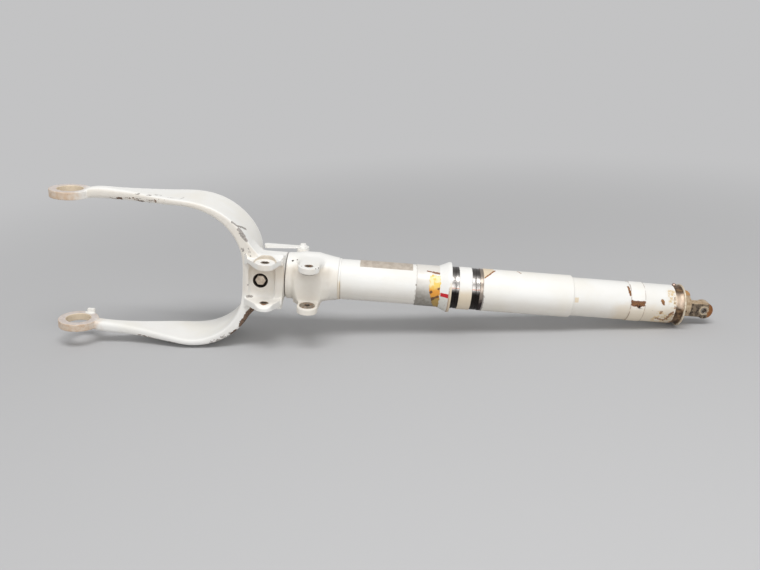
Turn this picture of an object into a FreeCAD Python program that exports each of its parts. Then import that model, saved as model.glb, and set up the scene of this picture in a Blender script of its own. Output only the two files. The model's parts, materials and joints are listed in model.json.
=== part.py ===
import FreeCAD, Part
import math
import os

# Nose landing gear strut, millimetres.  X runs along the strut from the axle to the top fitting,
# Z is the axle's own direction, and the torque link lugs stand out along -Y.
# The origin is the middle of the axle bores.  The strut is drawn fully collapsed.

V = FreeCAD.Vector
ORIGIN = V(0, 0, 0)
ALONG = V(1, 0, 0)
ACROSS = V(0, 1, 0)
UP = V(0, 0, 1)

# Fits
RUN = 0.05                      # radial clearance of a running fit
SEAT = 0.02                     # radial clearance of a push fit
FACE_GAP = 0.1                  # end gap between stacked rings

# Fork
AXLE_BORE_R = 17.46
AXLE_RING_R = 28.0
AXLE_RING_T = 10.9
FORK_HALF_GAP = 91.7            # inner face of each axle ring
LEG_START_X = 20.0
KNEE_X = 165.0                  # the straight leg ends and the knee begins
KNEE_Z = 97.5
KNEE_RX = 82.0
KNEE_RZ = 77.5
HUB_R = 32.7
HUB_END_X = 304.7
SOCKET_END_X = 258.0
END_JOIN_X = 48.0               # where each axle end meets its leg
HUB_JOIN_X = 252.0              # where the hub meets the crown
LUG_JOIN_Y = -40.2              # where the torque link lugs meet the hub
BLOCK_Y = -39.5                 # front face of the block that carries the lugs
LUG_ROOT_Z = 39.2               # the fork's lugs thicken to this behind their spot faces
BOLT_HEAD_BORE_R = 9.8
BOLT_NUT_BORE_R = 9.0
DRAIN_R = 5.0
FORK_REACH = 150.0              # further than the fork goes from the strut's axis
BOLT_X = 272.0
BOLT_R = 3.97
BOLT_HOLE_R = 4.1
BOLT_FLATS = 12.7
BOLT_SEAT_Y = -27.0
NUT_SEAT_Y = 29.5
WASHER_T = 0.8

# Torque link lugs, fork and cylinder
LUG_Y = -54.0
LUG_INNER_Z = 24.6
LUG_OUTER_Z = 33.7
LUG_HOLE_R = 4.0
LUG_BUSH_R = 6.0
FORK_LUG_X = 281.0
FORK_LUG_R = 13.0
COLLAR_LUG_X = 340.5
COLLAR_LUG_R = 14.3
BUSH_FLANGE_R = 10.8
BUSH_FLANGE_T = 1.4

# Cylinder and what is fitted over it
COLLAR_START_X = 305.9
COLLAR_END_X = 379.6
COLLAR_WEB_Y = -38.0            # the flat between the collar's lugs
LOCK_HOLES_X = (314.0, 321.2)
LOCK_HOLE_R = 1.6
LOCK_HOLE_Z = 27.6
SEAM_RING_END_X = 382.4
CYL_START_X = 309.5
CYL_LOWER_R = 28.9
CYL_SHOULDER_X = 490.0
CYL_UPPER_R = 27.7
CYL_END_X = 858.0
CYL_BORE_R = 23.5
SLEEVE_R = 29.6
CONE_START_X = 522.0
FLANGE_X = 539.3
FLANGE_R = 36.0
JOURNAL_R = 30.0
JOURNAL_RECESS = 1.2            # depth of the flange's recess for the lower journal ring
COLLAR_RING_X = 550.4
BEARING_RING_R = 30.5
UPPER_JOURNAL_X = 568.6
SPACER_X = 577.4
LOCK_RING_X = 579.6
UPPER_SLEEVE_X = 584.4
UPPER_SLEEVE_END_X = 713.8
UPPER_SLEEVE_R = 30.4
BAND_X = 793.7
BAND_END_X = 814.4
BAND_R = 28.4

# Stop arm at the back of the collar
ARM_BOLT_X = 323.4
ARM_Y = 30.0
ARM_Z = 33.0
ARM_T = 1.8
ARM_HALF_W = 5.2
ARM_BOSS_R = 9.0
ARM_HOLE_R = 2.6
ARM_TIP_X = 267.4

# Piston and the parts inside
PISTON_R = 22.2
PISTON_BORE_R = 18.6
PISTON_END_X = 562.0
HEAD_START_X = 533.0
HEAD_BEARING_END_X = 557.0
HEAD_SPIGOT_R = 20.6
GLAND_END_X = 365.0
STEM_PLUG_X = 284.0
PIN_TOP_X = 596.0
ORIFICE_X = 420.0
ORIFICE_TUBE_R = 12.5
ORIFICE_BORE_R = 10.0
ORIFICE_HOLE_R = 5.5

# Top end
CAP_END_X = 869.0
CAP_R = 27.3
CAP_BORE_R = 17.6
LOCK_SCREW_X = 862.3
LOCK_SCREW_R = 1.8
LOCK_SCREW_HEAD_R = 3.1
LOCK_SCREW_TURN = 14.0          # degrees from straight up, away from the lugs
LIP_END_X = 871.4
LIP_R = 30.0
NECK_END_X = 886.0
TANG_R = 12.0
TANG_HALF_T = 7.5
TANG_END_X = 920.0
TANG_HOLE_X = 907.5
TANG_BUSH_R = 5.0
TANG_HOLE_R = 3.2
TANG_DROP = 4.0                 # the tang sits a little below the strut's axis
VALVE_X = 881.5
VALVE_Y = 12.0
VALVE_STEM_R = 3.0


def disc(x0, x1, radius):
    """A solid cylinder about the strut's axis."""
    return Part.makeCylinder(radius, x1 - x0, V(x0, 0, 0), ALONG)


def ring(x0, x1, inner, outer):
    """A plain ring about the strut's axis."""
    return disc(x0, x1, outer).cut(disc(x0 - 1, x1 + 1, inner))


def turned(profile):
    """A solid of revolution about the strut's axis from (x, radius) points."""
    points = [V(x, 0, r) for x, r in profile]
    face = Part.Face(Part.makePolygon(points + points[:1]))
    return face.revolve(ORIGIN, ALONG, 360)


def upright(x, y, z0, z1, radius):
    """A solid cylinder parallel to the axle."""
    return Part.makeCylinder(radius, z1 - z0, V(x, y, z0), UP)


def box(x0, x1, y0, y1, z0, z1):
    return Part.makeBox(x1 - x0, y1 - y0, z1 - z0, V(x0, y0, z0))


def mirrored(shape):
    """The same shape on the other side of the fork's middle plane."""
    return shape.mirror(ORIGIN, UP)


def fused(shapes):
    return shapes[0].multiFuse(shapes[1:]).removeSplitter()


def o_ring(x, centre_r, cord_r):
    """A round-section seal ring about the strut's axis."""
    return Part.makeTorus(centre_r, cord_r, V(x, 0, 0), ALONG)


def hexagon(flats, height, base, direction):
    """A hexagonal head of the given width across flats, chamfered at its outer face."""
    corner = flats / math.sqrt(3)
    face_r = 0.475 * flats
    chamfer = (corner - face_r) * math.tan(math.radians(30))
    points = []
    for step in range(7):
        turn = math.radians(60 * step)
        points.append(V(corner * math.cos(turn), corner * math.sin(turn), 0))
    blank = Part.makeCylinder(corner, height - chamfer)
    blank = blank.fuse(Part.makeCone(corner, face_r, chamfer, V(0, 0, height - chamfer)))
    head = Part.Face(Part.makePolygon(points)).extrude(V(0, 0, height)).common(blank)
    head.Placement = FreeCAD.Placement(base, FreeCAD.Rotation(UP, direction))
    return head


def tangent_point(point, centre, radius, side):
    """Where a line from a point touches a circle; side is 1 or -1."""
    dx = point[0] - centre[0]
    dy = point[1] - centre[1]
    turn = math.atan2(dy, dx) + side * math.acos(radius / math.hypot(dx, dy))
    return (centre[0] + radius * math.cos(turn), centre[1] + radius * math.sin(turn))


def plate(outline, z0, z1):
    """A flat plate across the axle's direction from (x, y) points."""
    points = [V(x, y, z0) for x, y in outline]
    return Part.Face(Part.makePolygon(points + points[:1])).extrude(V(0, 0, z1 - z0))


def pyramid(base, top, sink_y, base_y, top_y):
    """A flat-topped pyramid that stands out along -Y, from two lists of (x, z) points; below
    base_y its sides go straight in to sink_y."""
    wires = []
    for outline, y in ((base, sink_y), (base, base_y), (top, top_y)):
        points = [V(x, y, z) for x, z in outline]
        wires.append(Part.makePolygon(points + points[:1]))
    return Part.makeLoft(wires, True, True)


def leg_section(x, z, lean, half_width, thickness, corner):
    """A rounded rectangle across the leg.  (x, z) is on the leg's inner face and lean is the
    angle of the outward normal above the X axis."""
    normal = V(math.cos(lean), 0, math.sin(lean))
    base = V(x, 0, z)

    def at(width, depth):
        return base + ACROSS * width + normal * depth

    diagonal = corner * (1 - math.sqrt(0.5))
    edges = []
    corners = [(half_width, 0, -1, 1), (half_width, thickness, -1, -1),
               (-half_width, thickness, 1, -1), (-half_width, 0, 1, 1)]
    for index, (width, depth, inward, deeper) in enumerate(corners):
        along_width = at(width + inward * corner, depth)
        along_depth = at(width, depth + deeper * corner)
        middle = at(width + inward * diagonal, depth + deeper * diagonal)
        first, last = (along_width, along_depth) if index % 2 == 0 else (along_depth, along_width)
        if edges:
            edges.append(Part.LineSegment(edges[-1].EndPoint, first))
        edges.append(Part.Arc(first, middle, last))
    edges.append(Part.LineSegment(edges[-1].EndPoint, edges[0].StartPoint))
    return Part.Wire([edge.toShape() for edge in edges])


def fork_sections():
    """Sections of the upper leg from the axle ring to the middle of the crown."""
    slope = (KNEE_Z - FORK_HALF_GAP) / (KNEE_X - AXLE_RING_R)
    leg = [(LEG_START_X, 9.5, 10.6, 4.0), (34.0, 9.5, 15.6, 6.0), (62.0, 10.8, 15.2, 6.0),
           (92.0, 16.2, 13.0, 5.0), (120.0, 24.6, 10.8, 4.2), (145.0, 32.2, 9.6, 3.8)]
    sections = []
    for x, half_width, thickness, corner in leg:
        z = KNEE_Z - (KNEE_X - x) * slope
        sections.append(leg_section(x, z, math.radians(90) + slope, half_width, thickness, corner))
    knee = [(90, 37.0, 8.8, 3.6), (72, 39.4, 9.6, 3.4), (54, 40.0, 11.6, 3.2), (36, 40.0, 14.0, 3.0),
            (18, 40.0, 16.8, 3.0), (0, 38.6, 19.0, 3.0)]
    for degrees, half_width, thickness, corner in knee:
        turn = math.radians(degrees)
        x = KNEE_X + KNEE_RX * math.cos(turn)
        z = KNEE_Z - KNEE_RZ + KNEE_RZ * math.sin(turn)
        lean = math.atan2(math.sin(turn) / KNEE_RZ, math.cos(turn) / KNEE_RX)
        sections.append(leg_section(x, z, lean, half_width, thickness, corner))
    return sections


def fork_lug():
    """The upper torque link lug: a thick root that slopes down to the hub, and a round end with
    a spot face for the link."""
    centre = (FORK_LUG_X, LUG_Y)
    root_left = (251.0, -40.5)
    root_right = (303.0, -35.0)
    outline = [(root_left[0], 0), root_left, tangent_point(root_left, centre, FORK_LUG_R, 1),
               tangent_point(root_right, centre, FORK_LUG_R, -1), root_right, (root_right[0], 0)]
    lug = plate(outline, LUG_INNER_Z, LUG_ROOT_Z)
    lug = lug.fuse(upright(FORK_LUG_X, LUG_Y, LUG_INNER_Z, LUG_ROOT_Z, FORK_LUG_R))
    above = [(5, 29), (-8, 31), (-18, 34.5), (-30, LUG_ROOT_Z), (-30, 60), (5, 60)]
    points = [V(240, y, z) for y, z in above]
    slope = Part.Face(Part.makePolygon(points + points[:1])).extrude(V(80, 0, 0))
    spot_face = upright(FORK_LUG_X, LUG_Y, LUG_OUTER_Z, LUG_ROOT_Z + 5, FORK_LUG_R + 1.2)
    return lug.cut(slope.fuse(spot_face))


def fork_gusset():
    """The upper gusset that leads the knee's outer face into the hub and the lug."""
    profile = [(250, 62), (256, 54.5), (262, 46.8), (268, 40.6), (276, 35.6), (286, 32.0),
               (286, 25), (250, 25)]
    points = [V(x, BLOCK_Y + 0.4, z) for x, z in profile]
    return Part.Face(Part.makePolygon(points + points[:1])).extrude(V(0, -8 - BLOCK_Y, 0))


def fork():
    """The one-piece wheel fork: two flat legs, axle rings, crown, hub and torque link lugs."""
    crown_x = KNEE_X + KNEE_RX
    upper = fork_sections()
    middle = leg_section(crown_x, 0, 0, 37.6, 19.6, 3.0)
    lower = [mirrored(wire) for wire in reversed(upper)]
    strap = Part.makeLoft(upper + [middle] + lower, True, False)
    ring_blank = upright(0, 0, FORK_HALF_GAP, FORK_HALF_GAP + AXLE_RING_T, AXLE_RING_R)
    axle_key = box(4, 15, 23.5, 28.5, -FORK_HALF_GAP - 3, -FORK_HALF_GAP + 6)
    hub = turned([(crown_x + 4, 0), (crown_x + 4, 37.0), (262, 37.0), (265, 34.8), (270, 33.1),
                  (275, HUB_R), (HUB_END_X - 1.2, HUB_R), (HUB_END_X, HUB_R - 1.2), (HUB_END_X, 0)])
    front = box(crown_x + 3, 303.2, BLOCK_Y, 0, -HUB_R, HUB_R)
    front = front.common(upright(278, 0, -HUB_R, HUB_R, 47.0))
    lug = fork_lug()
    gusset = fork_gusset()
    body = fused([strap, ring_blank, mirrored(ring_blank), axle_key, hub, front, lug, mirrored(lug),
                  gusset, mirrored(gusset)])

    pocket = box(crown_x + 9.4, 293.5, -70, -33.6, -LUG_INNER_Z, LUG_INNER_Z)
    pocket = fillet_all(pocket, lambda edge: edge_runs(edge, ACROSS), 9.0)
    cuts = [pocket,
            upright(0, 0, -120, 120, AXLE_BORE_R),
            upright(FORK_LUG_X, LUG_Y, -50, 50, LUG_BUSH_R + SEAT),
            disc(SOCKET_END_X, HUB_END_X + 1, PISTON_R + SEAT),
            disc(crown_x - 1, SOCKET_END_X + 1, DRAIN_R),
            Part.makeCylinder(BOLT_HEAD_BORE_R, 20, V(BOLT_X, BOLT_SEAT_Y, 0), ACROSS * -1),
            Part.makeCylinder(BOLT_NUT_BORE_R, 12, V(BOLT_X, NUT_SEAT_Y, 0), ACROSS),
            Part.makeCylinder(BOLT_HOLE_R, 90, V(BOLT_X, -45, 0), ACROSS)]
    return body.cut(cuts[0].multiFuse(cuts[1:]))


def fork_pieces():
    """The forging as solids that meet face to face: the hub, the two lugs, the crown with both
    legs, and the two axle ends."""
    whole = fork()

    def between(x0, x1, y0=-FORK_REACH, y1=FORK_REACH, z0=-FORK_REACH, z1=FORK_REACH):
        return whole.common(box(x0, x1, y0, y1, z0, z1))

    return {
        "fork_hub": between(HUB_JOIN_X, HUB_JOIN_X + FORK_REACH, y0=LUG_JOIN_Y),
        "fork_lugs": between(HUB_JOIN_X, HUB_JOIN_X + FORK_REACH, y1=LUG_JOIN_Y),
        "fork_legs": between(END_JOIN_X, HUB_JOIN_X),
        "axle_end_upper": between(-FORK_REACH, END_JOIN_X, z0=0),
        "axle_end_lower": between(-FORK_REACH, END_JOIN_X, z1=0),
    }


def edge_runs(edge, direction):
    """True for a straight edge that runs along the direction."""
    if not isinstance(edge.Curve, Part.Line):
        return False
    return abs(edge.Curve.Direction.dot(direction)) > 0.999


def fillet_all(shape, wanted, radius):
    return shape.makeFillet(radius, [edge for edge in shape.Edges if wanted(edge)])


def plain_bushes(x):
    """Two bushes, one in each lug, flush with its faces."""
    tube = upright(x, LUG_Y, LUG_INNER_Z, LUG_OUTER_Z, LUG_BUSH_R)
    tube = tube.cut(upright(x, LUG_Y, 0, 60, LUG_HOLE_R))
    return Part.makeCompound([tube, mirrored(tube)])


def flanged_bushes(x):
    """Two bushes whose flanges take the torque link's side load inside the gap."""
    tube = upright(x, LUG_Y, LUG_INNER_Z, LUG_OUTER_Z, LUG_BUSH_R)
    flange = upright(x, LUG_Y, LUG_INNER_Z - BUSH_FLANGE_T, LUG_INNER_Z, BUSH_FLANGE_R)
    bush = tube.fuse(flange).cut(upright(x, LUG_Y, 0, 60, LUG_HOLE_R))
    return Part.makeCompound([bush, mirrored(bush)])


def fork_bolt():
    """The cross bolt that holds the piston tube in the fork, head in the counterbore."""
    seat = BOLT_SEAT_Y - WASHER_T
    shank = Part.makeCylinder(BOLT_R, NUT_SEAT_Y - seat + 9, V(BOLT_X, seat - 1, 0), ACROSS)
    head = hexagon(BOLT_FLATS, 5.2, V(BOLT_X, seat, 0), ACROSS * -1)
    return shank.fuse(head)


def fork_bolt_washers():
    """A washer under the head and one under the nut."""
    washers = []
    for y in (BOLT_SEAT_Y - WASHER_T, NUT_SEAT_Y):
        washer = Part.makeCylinder(7.4, WASHER_T, V(BOLT_X, y, 0), ACROSS)
        washers.append(washer.cut(Part.makeCylinder(BOLT_R + 0.01, 3, V(BOLT_X, y - 1, 0), ACROSS)))
    return Part.makeCompound(washers)


def fork_bolt_nut():
    nut = hexagon(BOLT_FLATS, 6.6, V(BOLT_X, NUT_SEAT_Y + WASHER_T, 0), ACROSS)
    return nut.cut(Part.makeCylinder(BOLT_R + 0.01, 20, V(BOLT_X, NUT_SEAT_Y - 2, 0), ACROSS))


def piston_tube():
    """The chromed inner tube, open inside, stepped at its head for the bearing."""
    body = turned([(SOCKET_END_X + 0.5, PISTON_BORE_R), (SOCKET_END_X + 0.5, PISTON_R - 0.8),
                   (SOCKET_END_X + 1.3, PISTON_R), (HEAD_START_X, PISTON_R),
                   (HEAD_START_X, HEAD_SPIGOT_R), (PISTON_END_X, HEAD_SPIGOT_R),
                   (PISTON_END_X, PISTON_BORE_R)])
    groove = ring(HEAD_BEARING_END_X + 0.1, HEAD_BEARING_END_X + 2.1, HEAD_SPIGOT_R - 0.8, 30)
    hole = Part.makeCylinder(BOLT_HOLE_R, 90, V(BOLT_X, -45, 0), ACROSS)
    return body.cut(groove).cut(hole)


def piston_plug():
    """The bulkhead that closes the piston tube above the cross bolt."""
    plug = disc(STEM_PLUG_X, STEM_PLUG_X + 16, PISTON_BORE_R - SEAT)
    groove = ring(STEM_PLUG_X + 6.4, STEM_PLUG_X + 9.6, PISTON_BORE_R - 2.6, 30)
    return plug.cut(groove).cut(disc(STEM_PLUG_X + 4, STEM_PLUG_X + 20, 5.0))


def metering_pin():
    """The tapered pin that stands on the plug and runs through the orifice."""
    start = STEM_PLUG_X + 4
    return turned([(start, 0), (start, 4.98), (start + 18, 4.98), (start + 22, 4.2),
                   (ORIFICE_X - 30, 4.2), (PIN_TOP_X - 8, 3.0), (PIN_TOP_X, 1.4), (PIN_TOP_X, 0)])


def head_bearing():
    """The ring at the piston's head.  It slides with the piston, and the piston turns in it."""
    body = ring(HEAD_START_X + 0.1, HEAD_BEARING_END_X, HEAD_SPIGOT_R + RUN, CYL_BORE_R - RUN)
    for x in (HEAD_START_X + 6, HEAD_START_X + 16):
        body = body.cut(ring(x, x + 1.6, CYL_BORE_R - 0.9, 30))
    return body


def split_ring(x0, x1, inner, outer, gap_half, turn):
    """A ring with a gap, turned so that the gap faces the given angle from -Y towards +Z."""
    gap = box(x0 - 1, x1 + 1, -outer - 5, 0, -gap_half, gap_half)
    gap.rotate(ORIGIN, ALONG, -turn)
    return ring(x0, x1, inner, outer).cut(gap)


def gland():
    """The lower bearing and seal carrier in the mouth of the cylinder."""
    body = ring(CYL_START_X + 4, GLAND_END_X, PISTON_R + RUN, CYL_BORE_R + 2.0)
    relief = ring(CYL_START_X + 34, GLAND_END_X - 9, 0, PISTON_R + 0.5)
    grooves = [ring(x, x + 4.4, 0, PISTON_R + 2.3) for x in (326.0, 334.0)]
    outer_groove = ring(348.0, 351.2, CYL_BORE_R - 0.2, 40)
    return body.cut(relief.multiFuse(grooves + [outer_groove]))


def gland_seals():
    """Two piston seals in the gland's inner grooves."""
    return Part.makeCompound([o_ring(x + 2.2, PISTON_R + 1.16, 1.08) for x in (326.0, 334.0)])


def cylinder():
    """The outer tube: a stepped outside, a long bore, and a wider mouth for the gland."""
    body = turned([(CYL_START_X, CYL_BORE_R + 2.02), (CYL_START_X, CYL_LOWER_R - 0.6),
                   (CYL_START_X + 0.6, CYL_LOWER_R), (CYL_SHOULDER_X, CYL_LOWER_R),
                   (CYL_SHOULDER_X, CYL_UPPER_R), (CYL_END_X, CYL_UPPER_R),
                   (CYL_END_X, CYL_BORE_R), (GLAND_END_X + 0.1, CYL_BORE_R),
                   (GLAND_END_X + 0.1, CYL_BORE_R + 2.02)])
    ring_groove = ring(CYL_START_X + 1.6, CYL_START_X + 3.8, 10, CYL_BORE_R + 3.0)
    seam_groove = ring(COLLAR_END_X, SEAM_RING_END_X, CYL_LOWER_R - 0.9, 40)
    return body.cut(ring_groove).cut(seam_groove)


def lug_collar():
    """The cast collar round the cylinder's lower end, with the upper torque link lugs, the web
    between them, and a small boss at the back for the stop arm."""
    outside = turned([(COLLAR_START_X, 20), (COLLAR_START_X, 32.2), (COLLAR_START_X + 1, 33.1),
                      (318, 33.6), (329, 35.9), (350, 36.0), (359, 34.0), (372, 31.4),
                      (COLLAR_END_X, 30.4), (COLLAR_END_X, 20)])
    left = COLLAR_LUG_X - COLLAR_LUG_R
    right = COLLAR_LUG_X + COLLAR_LUG_R
    lug = plate([(317, 0), (317, -20), (left - 2, -30), (left, -34), (left, LUG_Y), (right, LUG_Y),
                 (right, -36), (right + 3, -30), (364, -16), (364, 0)], LUG_INNER_Z, LUG_OUTER_Z)
    lug = lug.fuse(upright(COLLAR_LUG_X, LUG_Y, LUG_INNER_Z, LUG_OUTER_Z, COLLAR_LUG_R))
    base = [(308.5, -7), (308.5, 7), (318, LUG_INNER_Z + 1), (364, LUG_INNER_Z + 1), (376, 5),
            (376, -5), (364, -LUG_INNER_Z - 1), (318, -LUG_INNER_Z - 1)]
    top = [(320, -6), (320, 6), (325, LUG_INNER_Z + 1), (354, LUG_INNER_Z + 1), (357, 6),
           (357, -6), (354, -LUG_INNER_Z - 1), (325, -LUG_INNER_Z - 1)]
    web = pyramid(base, top, -10, -27.5, COLLAR_WEB_Y)
    boss = upright(ARM_BOLT_X, ARM_Y, 8, ARM_Z, ARM_BOSS_R)
    body = fused([outside, lug, mirrored(lug), web, boss])
    bore = disc(COLLAR_START_X - 1, COLLAR_END_X + 1, CYL_LOWER_R + SEAT)
    mouth = disc(COLLAR_START_X - 1, CYL_START_X + 1, CYL_LOWER_R - 2)
    pins = upright(COLLAR_LUG_X, LUG_Y, -50, 50, LUG_BUSH_R + SEAT)
    arm_hole = upright(ARM_BOLT_X, ARM_Y, 14, ARM_Z + 5, ARM_HOLE_R)
    lock_holes = [Part.makeCylinder(LOCK_HOLE_R, 30, V(x, -45, LOCK_HOLE_Z), ACROSS)
                  for x in LOCK_HOLES_X]
    return body.cut(bore.multiFuse([mouth, pins, arm_hole] + lock_holes))


def drilled(x, start_r, depth, radius, turn):
    """A radial hole; it enters at the angle measured from -Y towards +Z."""
    hole = Part.makeCylinder(radius, depth + 8, V(x, start_r - 8, 0), ACROSS)
    hole.rotate(ORIGIN, ALONG, -turn)
    return hole


def stop_arm():
    """A flat arm from the back boss to just short of the fork's shoulder."""
    bar = box(ARM_TIP_X, ARM_BOLT_X, ARM_Y - ARM_HALF_W, ARM_Y + ARM_HALF_W, ARM_Z, ARM_Z + ARM_T)
    bar = fillet_all(bar, lambda edge: edge_runs(edge, UP) and edge.CenterOfMass.x < 300, 4.0)
    eye = upright(ARM_BOLT_X, ARM_Y, ARM_Z, ARM_Z + ARM_T, ARM_BOSS_R - 0.4)
    return bar.fuse(eye).cut(upright(ARM_BOLT_X, ARM_Y, 0, 60, ARM_HOLE_R))


def stop_arm_bolt():
    """The bolt of the arm, with a low round head on a collar."""
    top = ARM_Z + ARM_T
    return fused([upright(ARM_BOLT_X, ARM_Y, 15, top + 1, ARM_HOLE_R - SEAT),
                  upright(ARM_BOLT_X, ARM_Y, top, top + 1.4, 6.2),
                  upright(ARM_BOLT_X, ARM_Y, top + 1.4, top + 4.4, 4.1)])


def thrust_sleeve():
    """The bare sleeve that seats on the cylinder's shoulder, with the cone and the thrust
    flange, whose face has a shallow recess for the first journal ring."""
    return turned([(CYL_SHOULDER_X + 0.1, CYL_UPPER_R + SEAT), (CYL_SHOULDER_X + 0.1, SLEEVE_R),
                   (CONE_START_X, SLEEVE_R), (FLANGE_X - 3.2, FLANGE_R), (FLANGE_X, FLANGE_R),
                   (FLANGE_X, JOURNAL_R + SEAT), (FLANGE_X - JOURNAL_RECESS, JOURNAL_R + SEAT),
                   (FLANGE_X - JOURNAL_RECESS, CYL_UPPER_R + SEAT)])


def lower_journal():
    """A ground ring with a grease groove."""
    start = FLANGE_X - JOURNAL_RECESS + FACE_GAP
    body = ring(start, COLLAR_RING_X - FACE_GAP, CYL_UPPER_R + SEAT, JOURNAL_R)
    middle = (FLANGE_X + COLLAR_RING_X) / 2
    return body.cut(ring(middle - 0.7, middle + 0.7, JOURNAL_R - 0.8, 40))


def upper_journal():
    body = ring(UPPER_JOURNAL_X, SPACER_X - 0.1, CYL_UPPER_R + SEAT, JOURNAL_R - 0.3)
    return body.cut(ring(573.6, 574.6, JOURNAL_R - 1.0, 40))


def upper_sleeve():
    """The long painted sleeve that carries the upper bearing load."""
    return turned([(UPPER_SLEEVE_X, CYL_UPPER_R + SEAT), (UPPER_SLEEVE_X, UPPER_SLEEVE_R - 0.5),
                   (UPPER_SLEEVE_X + 0.5, UPPER_SLEEVE_R),
                   (UPPER_SLEEVE_END_X - 2.2, UPPER_SLEEVE_R),
                   (UPPER_SLEEVE_END_X, UPPER_SLEEVE_R - 1.8),
                   (UPPER_SLEEVE_END_X, CYL_UPPER_R + SEAT)])


def clamp_band():
    """A thin split band with a lock hole beside its gap."""
    body = split_ring(BAND_X, BAND_END_X, CYL_UPPER_R + SEAT, BAND_R, 1.3, 12)
    return body.cut(drilled((BAND_X + BAND_END_X) / 2 + 2, -BAND_R, 1, 1.9, 3))


def data_plate():
    """A blank curved plate on top of the lower tube."""
    shell = ring(409, 484, CYL_LOWER_R, CYL_LOWER_R + 0.5)
    return shell.common(box(400, 490, -14, 16, 0, 60))


def end_cap():
    """The threaded cap nut with a hollow flank, screwed into the cylinder's top end."""
    nut = turned([(CYL_END_X - 14, CAP_BORE_R), (CYL_END_X - 14, CYL_BORE_R - SEAT),
                  (CYL_END_X + 0.1, CYL_BORE_R - SEAT), (CYL_END_X + 0.1, CAP_R),
                  (CYL_END_X + 2, CAP_R), (CYL_END_X + 4.5, CAP_R - 0.7),
                  (CAP_END_X - 2.5, CAP_R - 0.7), (CAP_END_X, CAP_R + 0.6),
                  (CAP_END_X, CAP_BORE_R)])
    return nut.cut(lock_screw_stem(LOCK_SCREW_R + SEAT, 8))


def lock_screw_stem(radius, length):
    """A radial rod at the lock screw's place, from its foot outwards."""
    stem = Part.makeCylinder(radius, length, V(LOCK_SCREW_X, 0, CAP_R - 5), UP)
    stem.rotate(ORIGIN, ALONG, -LOCK_SCREW_TURN)
    return stem


def lip_washer():
    """The thin washer whose edge stands proud of the cap."""
    return turned([(CAP_END_X + 0.05, CAP_BORE_R + 0.1), (CAP_END_X + 0.05, LIP_R - 0.7),
                   (CAP_END_X + 0.8, LIP_R), (LIP_END_X - 0.6, LIP_R),
                   (LIP_END_X, LIP_R - 0.6), (LIP_END_X, CAP_BORE_R + 0.1)])


def cap_lock_screw():
    """A round-headed screw that keys the cap nut to the end of the cylinder."""
    head = Part.makeSphere(LOCK_SCREW_HEAD_R, V(LOCK_SCREW_X, 0, CAP_R + SEAT), UP, 0, 90, 360)
    head.rotate(ORIGIN, ALONG, -LOCK_SCREW_TURN)
    return lock_screw_stem(LOCK_SCREW_R, 6).fuse(head)


def top_plug():
    """The plug under the cap nut: a flange in the bore, a cone, and a flat tang with a cross
    bore.  A small half-round ear stands beside the cone."""
    inside = CYL_END_X - 14.1
    core = turned([(inside - 12, 0), (inside - 12, CYL_BORE_R - SEAT), (inside, CYL_BORE_R - SEAT),
                   (inside, CAP_BORE_R - SEAT), (LIP_END_X + 1.0, CAP_BORE_R - SEAT),
                   (NECK_END_X, 13.2), (NECK_END_X, 0)])
    bar = Part.makeCylinder(TANG_R, TANG_END_X - TANG_R - LIP_END_X, V(LIP_END_X, 0, -TANG_DROP), ALONG)
    tip = Part.makeCylinder(TANG_R, 2 * TANG_R, V(TANG_END_X - TANG_R, -TANG_R, -TANG_DROP), ACROSS)
    slab = box(LIP_END_X + 2, TANG_END_X + 5, -TANG_HALF_T, TANG_HALF_T, -40, 40)
    tang = bar.fuse(tip).common(slab)
    ear = Part.makeCylinder(8.6, 2.2, V(881.5, 8.0, 10.5), ACROSS)
    ear = ear.common(box(LIP_END_X, 900, 0, 20, 4, 40))
    body = fused([core, tang, ear])
    seal_groove = ring(inside - 7.6, inside - 4.4, CYL_BORE_R - 2.6, 40)
    cross = Part.makeCylinder(TANG_BUSH_R + SEAT, 60, V(TANG_HOLE_X, -30, -TANG_DROP), ACROSS)
    drain = Part.makeCylinder(1.5, 30, V(878.5, -30, -4.5), ACROSS)
    socket = disc(inside - 13, inside - 4, ORIFICE_TUBE_R + SEAT)
    gas_port = disc(inside - 13, VALVE_X, 2.0)
    valve_seat = Part.makeCylinder(7.0, 20, V(VALVE_X, VALVE_Y, -2), ACROSS)
    valve_hole = Part.makeCylinder(VALVE_STEM_R + SEAT, 20, V(VALVE_X, 0, -2), ACROSS)
    cuts = [cross, drain, socket, gas_port, valve_seat, valve_hole]
    return body.cut(seal_groove.multiFuse(cuts))


def filler_valve():
    """The gas filler valve at the back of the neck: a hexagonal body and a thin stem."""
    base = V(VALVE_X, VALVE_Y, -2)
    return fused([hexagon(11.0, 5.0, base, ACROSS),
                  Part.makeCylinder(VALVE_STEM_R, 10, V(VALVE_X, VALVE_Y - 6, -2), ACROSS),
                  Part.makeCylinder(2.6, 13, base, ACROSS)])


def valve_cap():
    """The hollow dust cap of the filler valve."""
    outer = Part.makeCylinder(4.2, 10, V(VALVE_X, VALVE_Y + 6, -2), ACROSS)
    return outer.cut(Part.makeCylinder(2.62, 8.4, V(VALVE_X, VALVE_Y + 5, -2), ACROSS))


def tang_bush():
    bush = Part.makeCylinder(TANG_BUSH_R, 2 * TANG_HALF_T, V(TANG_HOLE_X, -TANG_HALF_T, -TANG_DROP), ACROSS)
    return bush.cut(Part.makeCylinder(TANG_HOLE_R, 60, V(TANG_HOLE_X, -30, -TANG_DROP), ACROSS))


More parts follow.
